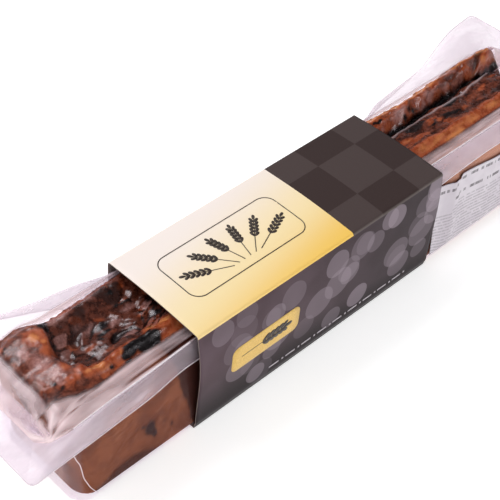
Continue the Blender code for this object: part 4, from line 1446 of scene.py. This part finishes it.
def rounded_frame(centre, size, radius, inset=0.0):
    """The outline of a rectangle with rounded corners, as places on a panel."""
    half_x, half_y = size[0] / 2 - inset, size[1] / 2 - inset
    turn_radius = radius - inset
    points = []
    for k in range(4):
        middle_x = (half_x - turn_radius) * (1 if k in (0, 3) else -1)
        middle_y = (half_y - turn_radius) * (1 if k < 2 else -1)
        for turn in range(0, 91, 9):
            angle = math.radians(90 * k + turn)
            x = middle_x + turn_radius * math.cos(angle)
            y = middle_y + turn_radius * math.sin(angle)
            points.append((centre[0] + x, centre[1] + y))
    return spaced(points, MM)


def spaced(outline, step):
    """A closed outline with points added so that none are further apart than step."""
    points = []
    for start, end in zip(outline, outline[1:] + outline[:1]):
        count = max(1, math.ceil(math.dist(start, end) / step))
        points += [tuple(mix(a, b, k / count) for a, b in zip(start, end)) for k in range(count)]
    return points


def wheat_grain(place, angle, length):
    """One pointed grain of wheat, whose foot is at place."""
    width = length * GRAIN_WIDTH
    points = []
    for k in range(12):
        turn = 2 * math.pi * k / 12
        along = length / 2 * (1 - math.cos(turn))
        side = width / 2 * math.sin(turn) * (1 - 0.25 * math.cos(turn))
        points.append((
            place[0] + along * math.cos(angle) - side * math.sin(angle),
            place[1] + along * math.sin(angle) + side * math.cos(angle),
        ))
    return points


def wheat_ear(foot, angle, length, size):
    """An ear of wheat on its stem: a thin stem and pairs of grains, with one at the tip."""
    way = (math.cos(angle), math.sin(angle))
    tip = (foot[0] + way[0] * length, foot[1] + way[1] * length)
    shapes = [wheat_grain(tip, angle, size)]
    for k in range(STEM_STEPS):
        low = [f + w * length * k / STEM_STEPS for f, w in zip(foot, way)]
        high = [f + w * length * (k + 1) / STEM_STEPS for f, w in zip(foot, way)]
        side = (-way[1] * STEM_WIDTH / 2, way[0] * STEM_WIDTH / 2)
        shapes.append([
            (low[0] + side[0], low[1] + side[1]),
            (low[0] - side[0], low[1] - side[1]),
            (high[0] - side[0], high[1] - side[1]),
            (high[0] + side[0], high[1] + side[1]),
        ])
    for k in range(GRAIN_PAIRS):
        at = length * (FIRST_GRAINS + GRAIN_PITCH * k)
        place = (foot[0] + way[0] * at, foot[1] + way[1] * at)
        for side in (-1, 1):
            spot = (place[0] - side * way[1] * GRAIN_OFF, place[1] + side * way[0] * GRAIN_OFF)
            shapes.append(wheat_grain(spot, angle + side * math.radians(GRAIN_LEAN), size))
    return shapes


def make_print(name, place_on, bands, shapes, material):
    """Thin ink on a panel: bands between two outlines of equal length, and small filled shapes."""
    bm = bmesh.new()
    for outer, inner in bands:
        loops = [[bm.verts.new(place_on(*point)) for point in outline] for outline in (outer, inner)]
        for k in range(len(outer)):
            bm.faces.new((loops[0][k - 1], loops[0][k], loops[1][k], loops[1][k - 1]))
    for shape in shapes:
        bm.faces.new([bm.verts.new(place_on(*point)) for point in shape])
    bmesh.ops.remove_doubles(bm, verts=bm.verts, dist=MERGE)
    piece = finish_mesh(name, bm, [material])
    thicken(piece, PRINT_DEPTH)
    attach(piece, "root")


def plate_bands(outline, centre):
    """Bands that fill an outline from its edge inwards, and the small shape that fills its middle."""
    rings = []
    for share in PLATE_SHARES:
        rings.append([tuple(mix(c, p, share) for c, p in zip(centre, point)) for point in outline])
    return list(zip(rings, rings[1:])), [rings[-1]]


def make_prints():
    dark = ink_material("dark ink", srgb(44, 33, 28), srgb(66, 52, 42))
    pale = ink_material("pale ink", srgb(176, 166, 174), srgb(204, 196, 202))
    gold = ink_material("gold ink", srgb(214, 172, 84), srgb(236, 198, 110))
    frame_line = [rounded_frame(EMBLEM, EMBLEM_SIZE, EMBLEM_ROUND, inset) for inset in (0.0, EMBLEM_LINE)]
    sheaf = []
    for lean in SHEAF_LEANS:
        foot = (EMBLEM[0] + lean * 0.1 * MM, EMBLEM[1] - SHEAF_FOOT)
        sheaf += wheat_ear(foot, math.radians(90 - lean), SHEAF_STEM + abs(lean) * 0.06 * MM, SHEAF_GRAIN)
    make_print("emblem_print", on_top, [frame_line], sheaf, dark)
    bands, middle = plate_bands(rounded_frame(BADGE, BADGE_SIZE, BADGE_ROUND), BADGE)
    make_print("badge_print", on_front, bands, middle, gold)
    ear = wheat_ear((BADGE[0] - BADGE_EAR_FOOT, BADGE[1]), 0.0, BADGE_STEM, BADGE_GRAIN)
    make_print("badge_ear_print", lambda x, z: lifted(on_front(x, z)), [], ear, dark)
    border = []
    for k in range(BORDER_COUNT):
        start = BORDER_START + k * BORDER_PITCH
        border.append(bar(start, BORDER_Z, *BORDER_DASH))
        border.append(bar(start + BORDER_DOT_AT, BORDER_Z, *BORDER_DOT))
    make_print("border_print", on_front, [], border, pale)


def lifted(point):
    return point[0], point[1] - PRINT_DEPTH, point[2]


def bar(start, z, length, height):
    """A rectangle on the front panel, from its start along the sleeve and round this height."""
    low, high = z - height / 2, z + height / 2
    return [(start, low), (start + length, low), (start + length, high), (start, high)]


# The label


def wall_y(z):
    """Where the middle of the film's front wall lies at this height."""
    knots = [(ring[3], ring[1]) for ring in POCKET_RINGS[2:]]
    return -level(knots, z)


def label_point(x, share):
    """The label's point at this place along the pack and this share of its height."""
    z = mix(LABEL_FOOT_Z, level(LABEL_TOP, x), share)
    off_wall = LABEL_GAP + LABEL_CREASE_HEIGHT * bump(x - LABEL_CREASE_X, LABEL_CREASE_WIDTH) * share
    beside = 1 - ease(0, LABEL_CURL_LENGTH, x - LABEL_START)
    off_wall += LABEL_CURL * beside * share
    off_wall += 0.08 * MM * noise_at(x, z, 9.0, 11)
    return x + LABEL_SLANT * beside * (1 - share), wall_y(min(z, SHOULDER_Z)) - off_wall, z


def make_label():
    shares = np.linspace(0, 1, 48)
    rows, belows = [], []
    for x in stretches((LABEL_START, *LABEL_STEP, LABEL_END), 0.5 * MM):
        rows.append([label_point(x, share) for share in shares])
        top = level(LABEL_TOP, x)
        belows.append([top - point[2] for point in rows[-1]])
    label = loft("paper_label", rows, [paper_material()], {"below": belows}, closed=False)
    thicken(label, PAPER)
    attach(label, "root")
    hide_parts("label")


# Studio


def make_camera():
    data = bpy.data.cameras.new("camera")
    data.lens = LENS
    data.sensor_width = SENSOR_WIDTH
    camera = bpy.data.objects.new("camera", data)
    camera.location = CAMERA_PLACE
    camera.rotation_euler = Euler([math.radians(turn) for turn in CAMERA_TURNS], "XYZ")
    bpy.context.scene.collection.objects.link(camera)
    bpy.context.scene.camera = camera


def area_light(name, place, target, size, power):
    data = bpy.data.lights.new(name, "AREA")
    data.shape = "RECTANGLE"
    data.size, data.size_y = size
    data.energy = power
    lamp = bpy.data.objects.new(name, data)
    lamp.location = place
    way = Vector(target) - Vector(place)
    lamp.rotation_euler = way.to_track_quat("-Z", "Y").to_euler()
    bpy.context.scene.collection.objects.link(lamp)


def make_studio():
    """Lamps and a sky that is bright at the horizon and dim overhead, as the crust's gloss mirrors that."""
    bpy.context.scene.view_settings.view_transform = "Standard"
    world = bpy.data.worlds.new("studio")
    world.use_nodes = True
    nodes, links = world.node_tree.nodes, world.node_tree.links
    height = nodes.new("ShaderNodeSeparateXYZ")
    links.new(nodes.new("ShaderNodeTexCoord").outputs["Generated"], height.inputs[0])
    fade = nodes.new("ShaderNodeMapRange")
    for name, value in {"From Min": 0.1, "From Max": 0.5, "To Min": SKY[0], "To Max": SKY[1]}.items():
        fade.inputs[name].default_value = value
    links.new(height.outputs["Z"], fade.inputs["Value"])
    links.new(fade.outputs[0], nodes["Background"].inputs["Strength"])
    nodes["Background"].inputs["Color"].default_value = (1, 1, 1, 1)
    bpy.context.scene.world = world
    for lamp in LAMPS:
        area_light(*lamp)


def make_floor():
    bm = bmesh.new()
    bmesh.ops.create_grid(bm, x_segments=1, y_segments=1, size=3)
    mesh = bpy.data.meshes.new("floor")
    bm.to_mesh(mesh)
    bm.free()
    paint = Paint("pale floor")
    speck = paint.noise(paint.place(), 0.2, 2)
    colour = paint.blend(speck, (0.93, 0.93, 0.93), (0.95, 0.95, 0.95))
    glow = {"Base Color": colour, "Roughness": 0.9, "Emission Color": (1, 1, 1), "Emission Strength": 0.57}
    mesh.materials.append(paint.finish(paint.surface(glow)))
    floor = bpy.data.objects.new("floor", mesh)
    bpy.context.scene.collection.objects.link(floor)


def main():
    make_camera()
    make_studio()
    make_floor()
    make_loaf([crust_material(), pastry_material()])
    make_tray(film_material("formed film", 0.005, 0.08, 0.35 * MM, 0.1, srgb(241, 228, 238)))
    make_lid(film_material("clinging film", 0.008, 0.08, 0.1 * MM, 0.16, srgb(246, 223, 226)))
    # Pale threads of painted highlight on the film's crease, folds and cut edge
    make_film_lines(ink_material("film edge", srgb(226, 212, 218), srgb(248, 240, 246)))
    make_sleeve()
    make_prints()
    make_label()


main()
